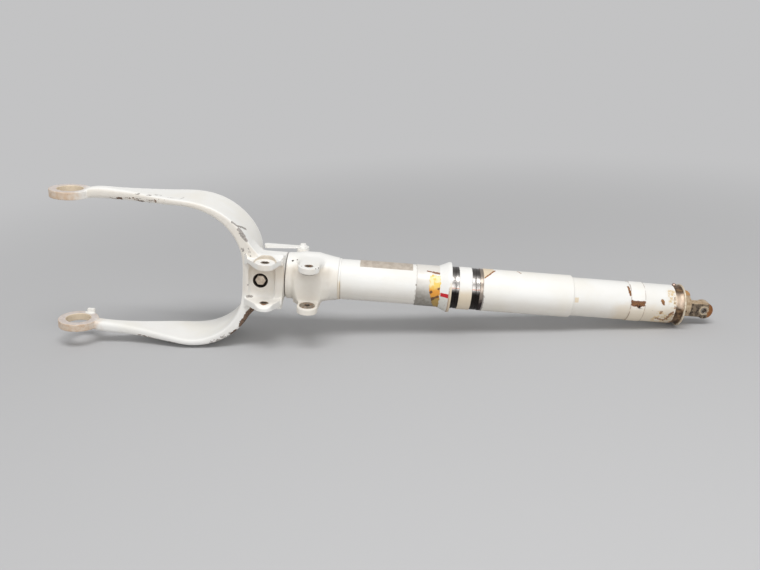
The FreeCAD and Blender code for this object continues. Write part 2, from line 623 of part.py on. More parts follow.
def orifice_tube():
    """The stand tube that holds the orifice plate inside the piston, with bleed holes near its top."""
    top = CYL_END_X - 14.1 - 4.1
    tube = ring(ORIFICE_X, top, ORIFICE_BORE_R, ORIFICE_TUBE_R)
    seat = ring(ORIFICE_X - 1, ORIFICE_X + 5, 0, ORIFICE_BORE_R + 1.2)
    bleeds = [Part.makeCylinder(2.5, 60, V(top - 40, 0, -30), UP),
              Part.makeCylinder(2.5, 60, V(top - 40, -30, 0), ACROSS)]
    return tube.cut(seat.multiFuse(bleeds))


def orifice_plate():
    return ring(ORIFICE_X + 0.2, ORIFICE_X + 5, ORIFICE_HOLE_R, ORIFICE_BORE_R + 1.18)


def save(name, shape):
    shape.exportStep(os.path.join("parts", name + ".step"))


def main():
    os.makedirs("parts", exist_ok=True)
    nodes = fork_pieces()
    nodes.update({
        "fork_lug_bushes": plain_bushes(FORK_LUG_X),
        "fork_bolt": fork_bolt(),
        "fork_bolt_washers": fork_bolt_washers(),
        "fork_bolt_nut": fork_bolt_nut(),
        "piston_tube": piston_tube(),
        "piston_plug": piston_plug(),
        "piston_plug_seal": o_ring(STEM_PLUG_X + 8, PISTON_BORE_R - 1.4, 1.2),
        "metering_pin": metering_pin(),
        "head_bearing": head_bearing(),
        "head_snap_ring": split_ring(HEAD_BEARING_END_X + 0.15, HEAD_BEARING_END_X + 2.0,
                                     HEAD_SPIGOT_R - 0.78, CYL_BORE_R - 0.6, 3, 0),
        "gland": gland(),
        "gland_seals": gland_seals(),
        "gland_static_seal": o_ring(349.6, CYL_BORE_R + 0.9, 1.1),
        "gland_wiper": ring(CYL_START_X - 0.4, CYL_START_X + 1.4, PISTON_R + RUN, CYL_BORE_R + 1.9),
        "gland_snap_ring": split_ring(CYL_START_X + 1.7, CYL_START_X + 3.7, PISTON_R + 0.5,
                                      CYL_BORE_R + 2.9, 3, 20),
        "cylinder": cylinder(),
        "lug_collar": lug_collar(),
        "collar_lug_bushes": flanged_bushes(COLLAR_LUG_X),
        "collar_seam_ring": split_ring(COLLAR_END_X + 0.1, SEAM_RING_END_X - 0.1,
                                       CYL_LOWER_R - 0.88, 29.7, 1, -100),
        "stop_arm": stop_arm(),
        "stop_arm_bolt": stop_arm_bolt(),
        "data_plate": data_plate(),
        "thrust_sleeve": thrust_sleeve(),
        "lower_journal": lower_journal(),
        "bearing_ring": ring(COLLAR_RING_X, UPPER_JOURNAL_X - 0.1, CYL_UPPER_R + SEAT, BEARING_RING_R),
        "upper_journal": upper_journal(),
        "journal_spacer": ring(SPACER_X, LOCK_RING_X - 0.1, CYL_UPPER_R + SEAT, JOURNAL_R - 0.9),
        "journal_lock_ring": ring(LOCK_RING_X, UPPER_SLEEVE_X - 0.1, CYL_UPPER_R + SEAT, JOURNAL_R + 0.1),
        "upper_sleeve": upper_sleeve(),
        "clamp_band": clamp_band(),
        "end_cap": end_cap(),
        "lip_washer": lip_washer(),
        "cap_lock_screw": cap_lock_screw(),
        "top_plug": top_plug(),
        "top_plug_seal": o_ring(CYL_END_X - 14.1 - 6, CYL_BORE_R - 1.4, 1.2),
        "tang_bush": tang_bush(),
        "filler_valve": filler_valve(),
        "valve_cap": valve_cap(),
        "orifice_tube": orifice_tube(),
        "orifice_plate": orifice_plate(),
    })
    for name, shape in nodes.items():
        if not shape.isValid():
            print("not valid:", name)
        print(name, len(shape.Solids), "solid(s)", round(shape.Volume / 1000, 2), "cm3")
        save(name, shape)


main()
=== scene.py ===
import bpy
import bmesh
import json
import math
from mathutils import Matrix, Vector, noise

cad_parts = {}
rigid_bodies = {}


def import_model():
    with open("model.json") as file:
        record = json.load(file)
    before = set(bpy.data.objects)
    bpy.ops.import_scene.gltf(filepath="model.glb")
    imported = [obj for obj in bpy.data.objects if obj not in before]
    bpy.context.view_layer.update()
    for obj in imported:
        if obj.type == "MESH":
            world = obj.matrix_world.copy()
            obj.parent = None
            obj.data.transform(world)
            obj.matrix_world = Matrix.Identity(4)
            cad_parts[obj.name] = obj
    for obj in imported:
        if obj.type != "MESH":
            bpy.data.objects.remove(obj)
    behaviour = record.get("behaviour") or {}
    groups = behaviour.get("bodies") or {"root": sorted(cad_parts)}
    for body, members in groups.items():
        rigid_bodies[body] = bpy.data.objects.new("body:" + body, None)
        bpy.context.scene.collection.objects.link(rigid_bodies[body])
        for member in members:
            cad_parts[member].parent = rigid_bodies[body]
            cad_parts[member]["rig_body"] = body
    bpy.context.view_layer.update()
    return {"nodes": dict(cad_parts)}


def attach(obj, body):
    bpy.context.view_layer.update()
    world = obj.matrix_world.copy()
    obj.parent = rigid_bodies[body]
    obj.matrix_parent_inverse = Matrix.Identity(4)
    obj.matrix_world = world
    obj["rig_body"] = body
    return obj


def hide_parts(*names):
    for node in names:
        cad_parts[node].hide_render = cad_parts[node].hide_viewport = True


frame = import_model()

bl_info = {
    "name": "Nose Gear Strut",
    "version": (1, 0, 0),
    "blender": (4, 5, 0),
    "location": "3D View > Sidebar > Gear Strut",
    "description": "Dresses a collapsed nose landing gear strut: worn paint, bare steel and rust",
    "category": "Object",
}

MM = 0.001
NODES = frame["nodes"]
FORK = "fork_group"
CYLINDER = "cylinder_group"
MOST_TRIANGLES = 190000           # of one skin; a larger skin is thinned to this; of one skin, so that the export needn't thin it
SHARP_ANGLE = math.radians(32)
BLACK_DIRT_AND_SHADOW = 1.2                  # a dirt mask above this turns from brown to black, as do the painted shadows in bores and holes
AMBIENT = 0.47                    # strength of the light from all round
BACKDROP = (0.545, 0.545, 0.55, 1.0)
FAR_FLOOR_GLOW = 1.09             # brings the far floor up to the backdrop

# Places on the fork and the collar, in millimetres in the part's own frame.
CROSS_BOLT_X = 272
BOLT_SEAT_R = 12.5
FORK_LUG_X = 281
LUG_PIN_Y = -54
LUG_INNER_Z = 24.6
LUG_OUTER_Z = 33.7
LUG_ROOT_Z = 39.2
BLOCK_FRONT_Y = -39.5
LUG_FROM_X = 254.6                # the lugs stand out beyond this, towards the collar
LUG_FROM_Y = -39.6                # and in front of this
AXLE_END_X = 26                   # the axle rings end here and the legs begin

FORK_SKIN_NODES = ("fork_hub", "fork_lugs", "fork_legs", "axle_end_upper", "axle_end_lower")
ROUNDED_NODES = {
    "cylinder": 0.3, "thrust_sleeve": 0.35, "lower_journal": 0.25, "bearing_ring": 0.4,
    "upper_journal": 0.25, "journal_spacer": 0.15, "journal_lock_ring": 0.3, "upper_sleeve": 0.3,
    "end_cap": 0.35, "lip_washer": 0.3, "top_plug": 0.5, "stop_arm": 0.35, "stop_arm_bolt": 0.5,
    "fork_bolt": 0.2, "fork_bolt_nut": 0.2, "fork_lug_bushes": 0.25, "collar_lug_bushes": 0.25,
    "tang_bush": 0.3, "clamp_band": 0.12, "collar_seam_ring": 0.12, "valve_cap": 0.5,
    "filler_valve": 0.3, "fork_bolt_washers": 0.1,
}


class StrutFinish(bpy.types.PropertyGroup):
    """Colours of the paint, the metals, what has worn or stained them, and the painted shade."""

    paint: bpy.props.FloatVectorProperty(
        name="Paint", description="The gloss white of the fork, tube and collar",
        subtype="COLOR", size=3, default=(0.86, 0.85, 0.82))
    aged_paint: bpy.props.FloatVectorProperty(
        name="Aged paint", description="Where the white has yellowed",
        subtype="COLOR", size=3, default=(0.80, 0.75, 0.64))
    # Also mixed in as painted shade behind the fork's upper lug.
    dirt_and_shade: bpy.props.FloatVectorProperty(
        name="Dirt", description="Oily dirt in seams and on the underside",
        subtype="COLOR", size=3, default=(0.20, 0.15, 0.10))
    # The beige mixed in as painted shade on the sides, in hollows and underneath.
    painted_shade: bpy.props.FloatVectorProperty(
        name="Dust", description="Beige dust on the sides and underneath",
        subtype="COLOR", size=3, default=(0.66, 0.57, 0.45))
    bare: bpy.props.FloatVectorProperty(
        name="Bare metal", description="Steel where the paint has chipped away",
        subtype="COLOR", size=3, default=(0.27, 0.25, 0.235))
    rust: bpy.props.FloatVectorProperty(
        name="Rust", description="Rust in chips and along edges",
        subtype="COLOR", size=3, default=(0.22, 0.085, 0.03))
    stripe: bpy.props.FloatVectorProperty(
        name="Slippage mark", description="The red stripe across the cone",
        subtype="COLOR", size=3, default=(0.62, 0.01, 0.02))


class StrutStage(bpy.types.PropertyGroup):
    """The floor, the lamps and the camera."""

    floor_colour: bpy.props.FloatVectorProperty(
        name="Floor", description="Colour of the plain floor", subtype="COLOR", size=3,
        default=(0.50, 0.50, 0.505))
    lens: bpy.props.FloatProperty(
        name="Lens", description="Focal length of the camera, in millimetres", default=35.07,
        min=10.0, max=200.0)
    key_power: bpy.props.FloatProperty(
        name="Key lamp", description="Power of the large lamp above", default=55.0, min=0.0,
        unit="POWER")
    fill_power: bpy.props.FloatProperty(
        name="Fill lamp", description="Power of the lamp beside the camera", default=8.0, min=0.0,
        unit="POWER")


class Value:
    """A shader socket that takes part in Python arithmetic.  Each operation adds a Math node."""

    def __init__(self, finish, socket):
        self.finish = finish
        self.socket = socket

    def maths(self, operation, *terms, clamp=False):
        return self.finish.add("ShaderNodeMath", {"operation": operation, "use_clamp": clamp},
                               dict(enumerate(terms)))

    def __add__(self, other):
        return self.maths("ADD", self, other)

    __radd__ = __add__

    def __sub__(self, other):
        return self.maths("SUBTRACT", self, other)

    def __rsub__(self, other):
        return self.maths("SUBTRACT", other, self)

    def __mul__(self, other):
        return self.maths("MULTIPLY", self, other)

    def __truediv__(self, other):
        return self.maths("DIVIDE", self, other)

    def __neg__(self):
        return self.maths("MULTIPLY", self, -1.0)

    def __abs__(self):
        return self.maths("ABSOLUTE", self)

    def __or__(self, other):
        return self.maths("MAXIMUM", self, other)

    def __and__(self, other):
        return self.maths("MINIMUM", self, other)

    def over(self, edge, soft):
        """0 below the edge and 1 above it, with a soft step between."""
        return self.finish.add(
            "ShaderNodeMapRange", {"interpolation_type": "SMOOTHSTEP"},
            {"Value": self, "From Min": edge - soft, "From Max": edge + soft,
             "To Min": 0.0, "To Max": 1.0})

    def under(self, edge, soft):
        return 1.0 - self.over(edge, soft)


class Finish:
    """A material under construction.  Places are in millimetres in the part's own frame."""

    def __init__(self, name):
        self.material = bpy.data.materials.new(name)
        self.material.use_nodes = True
        tree = self.material.node_tree
        tree.nodes.clear()
        self.nodes = tree.nodes
        self.links = tree.links
        spot = self.add("ShaderNodeTexCoord", output="Object")
        self.point = self.add("ShaderNodeVectorMath", {"operation": "SCALE"},
                              {0: spot, "Scale": 1 / MM})
        self.x, self.y, self.z = (
            self.add("ShaderNodeSeparateXYZ", {}, {0: self.point}, output=axis)
            for axis in range(3))
        self._turn = None

    def add(self, kind, settings=None, inputs=None, output=0):
        """Adds a node: its settings first, then its sockets' values or links."""
        node = self.nodes.new(kind)
        for key, setting in (settings or {}).items():
            setattr(node, key, setting)
        for key, term in (inputs or {}).items():
            if isinstance(term, Value):
                self.links.new(term.socket, node.inputs[key])
            else:
                node.inputs[key].default_value = term
        return Value(self, node.outputs[output])

    @property
    def turn(self):
        """Degrees round the strut's axis, from -Y towards +Z."""
        if self._turn is None:
            self._turn = self.z.maths("ARCTAN2", self.z, -self.y) * math.degrees(1)
        return self._turn

    def moved(self, stretch):
        return self.add("ShaderNodeVectorMath", {"operation": "MULTIPLY"},
                        {0: self.point, 1: stretch})

    def grain(self, size, detail=3.0, rough=0.55, stretch=(1, 1, 1), shift=0.0):
        """Noise from 0 to 1 whose features are about size millimetres across."""
        where = self.moved(stretch) if stretch != (1, 1, 1) else self.point
        if shift:
            where = self.add("ShaderNodeVectorMath", {"operation": "ADD"},
                             {0: where, 1: (shift, shift * 0.7, -shift)})
        return self.add("ShaderNodeTexNoise", {"normalize": True},
                        {"Vector": where, "Scale": 1 / size, "Detail": detail, "Roughness": rough})

    def wander(self, span, *grain, **settings):
        """Noise about 0, span wide.  What follows span is as for grain."""
        return (self.grain(*grain, **settings) - 0.5) * span

    def distance(self, first, second):
        return self.add("ShaderNodeVectorMath", {"operation": "DISTANCE"},
                        {0: first, 1: second}, output="Value")

    def mix(self, mask, first, second):
        first, second = (term if isinstance(term, Value) else (*term, 1.0)
                         for term in (first, second))
        return self.add("ShaderNodeMix", {"data_type": "RGBA", "clamp_factor": True},
                        {0: mask, 6: first, 7: second}, output=2)

    def blob(self, x, y, z, size, ragged=0.5):
        """A ragged spot about a place: 1 inside, 0 outside."""
        reach = self.distance(self.point, (x, y, z))
        frayed = reach / size + self.wander(2 * ragged, 2.5, 2.0)
        return frayed.under(1.0, 0.08)

    def streak(self, start, end, width, ragged=0.5, grain=2.5):
        """A ragged line between two places."""
        start, end = Vector(start), Vector(end)
        along = end - start
        offset = self.add("ShaderNodeVectorMath", {"operation": "SUBTRACT"},
                          {0: self.point, 1: start})
        share = self.add("ShaderNodeVectorMath", {"operation": "DOT_PRODUCT"},
                         {0: offset, 1: along / along.length_squared}, output="Value")
        share = share.maths("ADD", share, 0.0, clamp=True)
        nearest = self.add("ShaderNodeVectorMath", {"operation": "SCALE"},
                           {0: along, "Scale": share})
        reach = self.distance(offset, nearest)
        frayed = reach / width + self.wander(2 * ragged, grain, 2.0)
        return frayed.under(1.0, 0.1)

    def patch(self, x0, x1, turn0, turn1, ragged=1.5, grain=4.0, soft=0.3):
        """A ragged patch on a round part, between two places along it and two angles."""
        wander = self.wander(2 * ragged, grain, 3.0)
        x = self.x + wander
        turn = self.turn + wander * 2.0
        return (x.over(x0, soft) * x.under(x1, soft)
                * turn.over(turn0, soft * 2) * turn.under(turn1, soft * 2))

    def bump(self, height, depth, below=None):
        """A Bump node; depth is in millimetres."""
        inputs = {"Height": height, "Strength": 1.0, "Distance": depth * MM}
        if below is not None:
            inputs["Normal"] = below
        return self.add("ShaderNodeBump", {}, inputs)

    def surface(self, colour, roughness, metallic=0.0, normal=None, **constants):
        """Ends the material with a Principled shader."""
        inputs = {"Base Color": colour if isinstance(colour, Value) else (*colour, 1.0),
                  "Roughness": roughness, "Metallic": metallic}
        if normal is not None:
            inputs["Normal"] = normal
        inputs.update({name.replace("_", " ").title(): value for name, value in constants.items()})
        shader = self.add("ShaderNodeBsdfPrincipled", {}, inputs)
        self.add_output(shader)
        return self.material

    def add_output(self, shader):
        output = self.nodes.new("ShaderNodeOutputMaterial")
        self.links.new(shader.socket, output.inputs["Surface"])


def colours():
    return bpy.context.scene.strut_finish


def painted(name, chips, rusty=None, grime_and_shadow=None, stained=None, bare=None, painted_shade=None,
            rust_tones=None, sharp_edges=0.0):
    """Gloss white paint.  The mask arguments are functions of the finish that give, in order: chips
    to grey metal, rust, dirt with painted shadow, yellow stains, unpainted steel and beige painted
    shade."""
    look = colours()
    f = Finish(name)
    age = f.grain(55.0, 3.0, shift=7.0).over(0.56, 0.16) * 0.35
    colour = f.mix(age, tuple(look.paint), tuple(look.aged_paint))
    speckle = f.grain(1.1, 2.0, 0.7, shift=31.0).over(0.725, 0.02)
    spots = speckle * f.grain(24.0, 2.0, shift=11.0).over(0.54, 0.1)
    colour = f.mix(spots * 0.45, colour, (0.42, 0.34, 0.27))
    roughness = 0.41 + f.grain(9.0, 3.0, shift=3.0) * 0.14
    # Beige painted shade.
    if painted_shade:
        shaded = painted_shade(f) * (0.75 + f.grain(7.0, 4.0, 0.6, shift=37.0) * 0.5)
        colour = f.mix(shaded, colour, tuple(look.painted_shade))
        roughness = roughness + shaded * 0.15
    if stained:
        colour = f.mix(stained(f), colour, (0.68, 0.49, 0.24))
    if grime_and_shadow:
        darkened = grime_and_shadow(f) * (0.55 + f.grain(3.0, 4.0, 0.65, shift=17.0) * 0.75)
        colour = f.mix(darkened, colour, tuple(look.dirt_and_shade))
        # Near black: black oil, and painted shadow in bores and holes.
        colour = f.mix(darkened - BLACK_DIRT_AND_SHADOW, colour, (0.02, 0.014, 0.01))
        roughness = roughness + darkened * 0.25
    chipped = chips(f)
    if sharp_edges:
        chipped = chipped | worn_edge(f, sharp_edges)
    metal = f.mix(f.grain(2.2, 3.0, shift=5.0).over(0.5, 0.2), tuple(look.bare), (0.52, 0.48, 0.44))
    colour = f.mix(chipped, colour, metal)
    roughness = roughness + chipped * 0.18
    height = 1.0 - chipped
    if rusty:
        rust_mask = rusty(f)
        deep, fresh = rust_tones or (tuple(look.rust), (0.42, 0.20, 0.07))
        rust_colour = f.mix(f.grain(1.6, 4.0, 0.7, shift=9.0).over(0.52, 0.14), deep, fresh)
        colour = f.mix(rust_mask, colour, rust_colour)
        roughness = roughness + rust_mask * 0.3
        height = height & (1.0 - rust_mask * 0.7)
    metallic = chipped * 0.35
    if bare:
        steel, bare_mask = bare(f)
        colour = f.mix(bare_mask, colour, steel)
        roughness = roughness + bare_mask * 0.08
        metallic = metallic | bare_mask * 0.25
        height = height & (1.0 - bare_mask * 0.4)
    peel = f.bump(f.grain(2.6, 2.0, shift=2.0), 0.05)
    normal = f.bump(height, 0.14, peel)
    return f.surface(colour, roughness, metallic, normal, coat_weight=0.04, coat_roughness=0.25)


def facing(f, edge=0.75, soft=0.2):
    """1 where the surface faces the lugs' side, -Y."""
    side = f.add("ShaderNodeTexCoord", output="Normal")
    return (-f.add("ShaderNodeSeparateXYZ", {}, {0: side}, output=1)).over(edge, soft)


def underside_shade(f):
    """Beige painted shade that thickens towards the underside of a round part."""
    wander = f.wander(24, 24.0, 3.0, shift=39.0)
    return (f.turn + wander).under(-6.0, 28.0) * 0.34


def worn_edge(f, amount):
    """Chips where a dense mesh is sharply convex, other than beside the split."""
    split = f.x.over(294.0, 2.0) * f.x.under(306.0, 1.0)
    edge = f.add("ShaderNodeNewGeometry", output="Pointiness")
    ragged = edge + f.wander(0.11, 5.0, 4.0, 0.65, shift=23.0)
    return ragged.over(0.60 - 0.03 * amount, 0.008) * (1.0 - split)


def fork_chips(f):
    """Grey chips: a large ragged one along the knee's near ridge, small ones on the leg, the
    gusset, the block and below the lower lug."""
    ridge = (f.streak((233, -38.5, 82.6), (240.5, -36.5, 76), 1.5, 0.9, 3.0)
             | f.streak((240.5, -34, 76.5), (247.5, -17, 68), 1.9, 1.0, 3.5)
             | f.streak((242.5, -38.5, 73), (248.5, -38.5, 63), 3.0, 0.9, 3.0)
             | f.streak((249, -39, 62), (252.5, -39, 57.5), 2.0, 0.9, 3.0))
    dashes = f.grain(4.5, 2.0, 0.5, shift=43.0).over(0.5, 0.03)
    thin = (f.streak((254.2, -39.5, 50), (260, -39.5, 35), 1.3, 0.9)
            | f.streak((247, -39.5, 47), (251, -39.5, 38), 1.6, 1.0))
    spots = (f.streak((258, -39.5, 29), (263.5, -39.5, 25), 2.6, 1.1, 2.0) & dashes
             | f.streak((262, -4, 36), (265, 9, 33), 1.9, 0.9)
             | f.blob(268.5, -20, 35, 1.6, 0.8)
             | f.streak((290, -27, 36), (294, -21, 34.5), 0.9, 0.6)
             | f.streak((255, -39.5, -23), (261, -38, -23), 1.9, 0.8) | f.blob(256, -39.5, -6, 1.2))
    small = f.grain(5.0, 3.0, 0.55, stretch=(0.5, 1, 1), shift=41.0).over(0.615, 0.02)
    leg = small * f.streak((104, -22, 107), (152, -22, 107), 11.0, 0.3, 8.0)
    low = f.grain(4.0, 3.0, 0.6, shift=47.0).over(0.5, 0.03) * (
        f.streak((238, -39, -79), (205, -39, -99), 3.6, 0.9) * 0.9)
    return ridge | thin & dashes | spots | leg | low


def fork_rust(f):
    """Brown chips along the near lower edges of both legs and a dark band below the lug."""
    flakes = f.grain(5.0, 4.0, 0.65, stretch=(0.45, 1, 1), shift=13.0)
    upper = (f.streak((58, -10, 94), (88, -15.5, 96.5), 3.2, 0.7, 4.0)
             | f.streak((88, -15.5, 96.5), (124, -26.5, 98), 3.6, 0.8, 4.0))
    lower = (f.streak((92, -17, -105.5), (124, -26, -106), 2.2, 0.6, 5.0)
             | f.streak((124, -26, -106), (165, -38, -106), 1.6, 0.6, 5.0))
    band = (f.streak((262, -39.0, -42), (255, -39.0, -53), 4.4, 0.7, 3.0)
            | f.streak((255, -39.0, -54), (247, -39.0, -67), 4.0, 0.9, 3.0)
            | f.streak((240, -39.5, -76), (234, -39.5, -82), 2.2, 0.9, 3.0))
    return upper * flakes.over(0.52, 0.03) | lower * flakes.over(0.5, 0.04) | band


def fork_shadow_and_grime(f):
    """Painted shadow, black, in the cross bolt's counterbore round its head; painted shade, grey,
    on the wall behind the upper lug's spot face; and a faint line by the split."""
    bore = f.distance(f.moved((1, 0, 1)), (CROSS_BOLT_X, 0, 0))
    bore_shadow = bore.under(10.4, 0.3) * (-f.y).over(25.0, 0.5) * (-f.y).under(34.6, 0.4)
    wall = f.z.over(33.6, 0.4) * f.z.under(38.0, 1.2) * facing(f, 0.5, 0.2)
    wall = wall * f.x.over(267.0, 1.0) * f.x.under(295.0, 1.0) * (-f.y).under(47.0, 3.0) * 0.22
    split = f.x.over(303.4, 0.7) * 0.14
    return bore_shadow * 2.6 | split | wall


def fork_shade(f):
    """Beige painted shade: in the pocket, darker towards its top under the upper lug; on the spot
    faces' walls; on what faces the lugs' side, except low down; and a line along the upper leg's
    top edge.
    """
    pocket = f.x.over(255.0, 3.0) * (-f.y).over(28.0, 4.0) * abs(f.z).under(26.0, 2.0)
    pocket = pocket * (0.12 + f.z.over(0.0, 14.0) * 0.62)
    reach = f.distance(f.moved((1, 1, 0)), (FORK_LUG_X, LUG_PIN_Y, 0))
    wall = reach.over(13.4, 0.5) * reach.under(15.6, 0.9) * f.z.over(33.4, 0.7)
    line = (f.streak((36, -8.5, 107.2), (62, -10, 108), 1.1, 0.6)
            | f.streak((62, -10, 108), (96, -16.5, 107), 1.1, 0.8))
    return facing(f) * 0.42 * f.z.over(-20.0, 8.0) | pocket | wall * 0.8 | line * 0.9


def fork_bare(f):
    """Unpainted axle ends: pinkish grey on top, tan with rust spots round the outside, and golden
    in the bore as painted light."""
    radius = f.add("ShaderNodeVectorMath", {"operation": "LENGTH"},
                   {0: f.moved((1, 1, 0))}, output="Value")
    reach = f.x + f.wander(22, 10.0, 4.0, 0.6, shift=19.0) + f.z.over(0.0, 5.0) * 12
    key = f.blob(9.5, 26.5, -89, 9.5, 0.05)
    mask = reach.under(30.0, 9.0) * (1.0 - key)
    mottled = f.grain(6.0, 4.0, 0.6, shift=21.0)
    steel = f.mix(mottled.over(0.5, 0.25), (0.74, 0.67, 0.63), (0.62, 0.54, 0.49))
    wall = radius.over(27.2, 0.7)
    tan = f.mix(mottled.over(0.5, 0.2), (0.74, 0.62, 0.50), (0.66, 0.47, 0.31))
    steel = f.mix(wall * 0.85, steel, tan)
    # Painted light: the bore is golden, as if lit.
    steel = f.mix(radius.under(18.1, 0.5), steel, (0.78, 0.66, 0.50))
    spots = f.grain(2.4, 3.0, 0.6, shift=27.0).over(0.67, 0.03)
    steel = f.mix(spots * 0.5, steel, (0.34, 0.19, 0.10))
    return steel, mask


def collar_chips(f):
    """Small dark pits round the upper lug's face and one on the tube side."""
    return (f.blob(331, -57.5, 33.7, 1.1, 0.6) | f.blob(350.6, -63.4, 33.7, 1.1, 0.6)
            | f.blob(354.2, -58, 33.2, 1.6, 0.7) | f.blob(326.4, -49, 33.0, 1.4, 0.7))


def collar_grime_and_hole_shadow(f):
    """A thin line by the split with one oily spot, and painted shadow, black, in two lock holes."""
    spot = f.blob(305.6, -33.0, -13.0, 2.2, 0.4) * 3.0
    holes = f.blob(314.2, -17.6, 27.6, 1.5, 0.2) | f.blob(321.2, -17.6, 28.6, 1.5, 0.2)
    return f.x.under(306.2, 0.6) * 0.16 | spot | holes * 3.0


def collar_shade(f):
    """Beige painted shade: on the web between the lugs, darker under the upper lug, on what faces
    the lugs' side and towards the underside.
    """
    web = (-f.y).over(25.0, 7.0) * abs(f.z).under(25.5, 3.0)
    shade = web * (0.30 + f.z.over(10.0, 12.0) * 0.30)
    return shade | facing(f) * 0.30 | underside_shade(f)


def lock_hole(f):
    """The hole at the edge of the clamp band's gap."""
    return f.blob(805.5, -27.8, 2.0, 2.2, 0.2)


def tube_chips(f):
    low = f.patch(826, 857, -75, 10, 6.0, 7.0) & f.grain(5.0, 3.0, shift=51.0).over(0.72, 0.02)
    return low | f.blob(573, -30, 6, 1.0)


def tube_rust(f):
    """Brown chips near the end, cracked rust below them, and a fresh patch by the band."""
    spots = (f.streak((838, -24.5, 12.7), (839.7, -26.6, 8), 1.9, 1.5, 2.2)
             | f.streak((839, -27.4, -3), (837.6, -27.1, -6), 1.4, 1.6, 1.6) * 0.8)
    crack = (f.streak((834, -23.4, -14.6), (846, -21, -18), 1.5, 2.2, 2.0)
             | f.streak((846, -21, -18), (851, -25.5, -10), 1.9, 2.2, 2.2)
             | f.streak((851, -26.8, -7), (855, -27.6, -2), 1.5, 2.0, 2.0))
    gap = f.patch(794.3, 813.7, -2, 22, 0.8, 3.0) & (1.0 - lock_hole(f))
    end = (f.patch(854.5, 858, -80, 40, 2.0, 3.5)
           & f.grain(3.5, 3.0, 0.6, shift=61.0).over(0.54, 0.04))
    fresh = f.streak((790.5, -12, 25), (792.6, -22.5, 16.8), 1.7, 0.8, 2.5)
    return spots | crack * 0.9 | end * 0.8 | fresh | gap


def tube_grime_and_hole_shadow(f):
    seam = f.x.over(381.5, 0.6) * f.x.under(384.0, 1.2) * f.turn.under(10.0, 14.0) * 0.35
    dashes = f.x.over(488.6, 0.3) * f.grain(4.0, 3.0, 0.6, shift=57.0).over(0.58, 0.03)
    seam = seam | dashes * f.x.under(491.0, 0.3) * 0.9
    tail = f.x.over(846.0, 12.0) * (-f.z).over(2.0, 10.0) * 0.32
    # The black in the lock hole is painted shadow.
    return seam | tail | lock_hole(f) * 4.0


def tube_stains(f):
    low = f.patch(772, 858, -75, 6, 8.0, 12.0, 8.0) * 0.30
    warm = f.x.over(848.0, 6.0) * f.grain(6.0, 4.0, 0.6, shift=63.0).over(0.52, 0.10) * 0.5
    cloudy = f.grain(4.5, 4.0, 0.65, shift=67.0).over(0.49, 0.07)
    blotches = (f.patch(846, 858, 18, 62, 4.0, 5.0, 1.5)
                | f.patch(828, 858, -72, -6, 6.0, 5.0, 2.0))
    tape = f.patch(714.4, 719.6, 2, 17, 1.0, 3.0) * 0.55
    return low | warm * f.turn.under(66.0, 14.0) | blotches * cloudy * 0.85 | tape


def sleeve_chips(f):
    return f.patch(583.0, 586.2, -80, 6, 1.7, 2.6)


def sleeve_rust(f):
    return (f.streak((586, -18.4, 24.2), (593, -12.4, 27.8), 1.0, 1.0, 2.0)
            | f.streak((593, -12.4, 27.8), (601, -2.5, 30.3), 1.2, 1.0, 2.0)
            | f.streak((634, 3, 30.3), (638, -4, 30.1), 0.8, 0.8, 2.0))


def sleeve_stains(f):
    primer = f.x.under(600.0, 0.6) * (f.turn - (f.x - 585.0) * 2.05).over(51.0, 2.0)
    return primer * 0.6


def ring_stains(f):
    wander = f.wander(20, 9.0, 3.0, shift=3.0)
    return (f.turn + wander).under(12.0, 12.0) * 0.5


def seam_stains(f):
    """Tan lines along both edges of the seam ring's lower half, and a faint tan between them."""
    low = (f.turn + f.wander(30, 6.0, 3.0)).under(16.0, 10.0)
    return (f.x.under(380.4, 0.25) * 0.6 | f.x.over(381.7, 0.25)) * low * 0.9 + low * 0.12


def band_rust(f):
    """Rust: thin lines along both edges and a broad ragged patch along the gap."""
    lines = f.x.under(794.5, 0.35) | f.x.over(813.6, 0.35)
    lines = lines * f.grain(7.0, 3.0, stretch=(0.3, 1, 1), shift=71.0).over(0.44, 0.10)
    frayed = f.turn + f.wander(10, 3.0, 3.0, 0.6, shift=73.0)
    dip = abs(f.x - 804.0) * 0.45
    gap = frayed.under(21.0, 1.0) * (frayed - dip).over(1.5, 1.0)
    return lines * 0.6 | gap


def band_hole_shadow(f):
    """Painted shadow, black, in the lock hole."""
    return lock_hole(f) * 4.0


def no_chips(f):
    return f.blob(0, 0, 500, 1.0)


def metal(name, base, dark, roughness, grain=4.0, rust=0.0, brushed=0.02, uneven=0.03,
          metallic=1.0):
    """Bare metal with mottled tarnish, fine turning marks and rust if any."""
    look = colours()
    f = Finish(name)
    mottled = f.grain(grain, 4.0, 0.6, shift=5.0)
    colour = f.mix(mottled.over(0.5, 0.2), base, dark)
    rough = roughness + mottled * 0.16
    if rust:
        rusted = f.grain(grain * 1.3, 4.0, 0.62, shift=15.0).over(0.66 - 0.2 * rust, 0.06)
        red = f.mix(f.grain(1.8, 3.0, shift=25.0), tuple(look.rust), (0.40, 0.19, 0.07))
        colour = f.mix(rusted * 0.85, colour, red)
        rough = rough + rusted * 0.3
        shine = metallic - rusted * (0.8 * metallic)
    else:
        shine = metallic
    marks = f.grain(0.5, 2.0, 0.5, stretch=(3.0, 0.25, 0.25), shift=35.0)
    normal = f.bump(marks, brushed, f.bump(mottled, uneven))
    return f.surface(colour, rough, shine, normal)


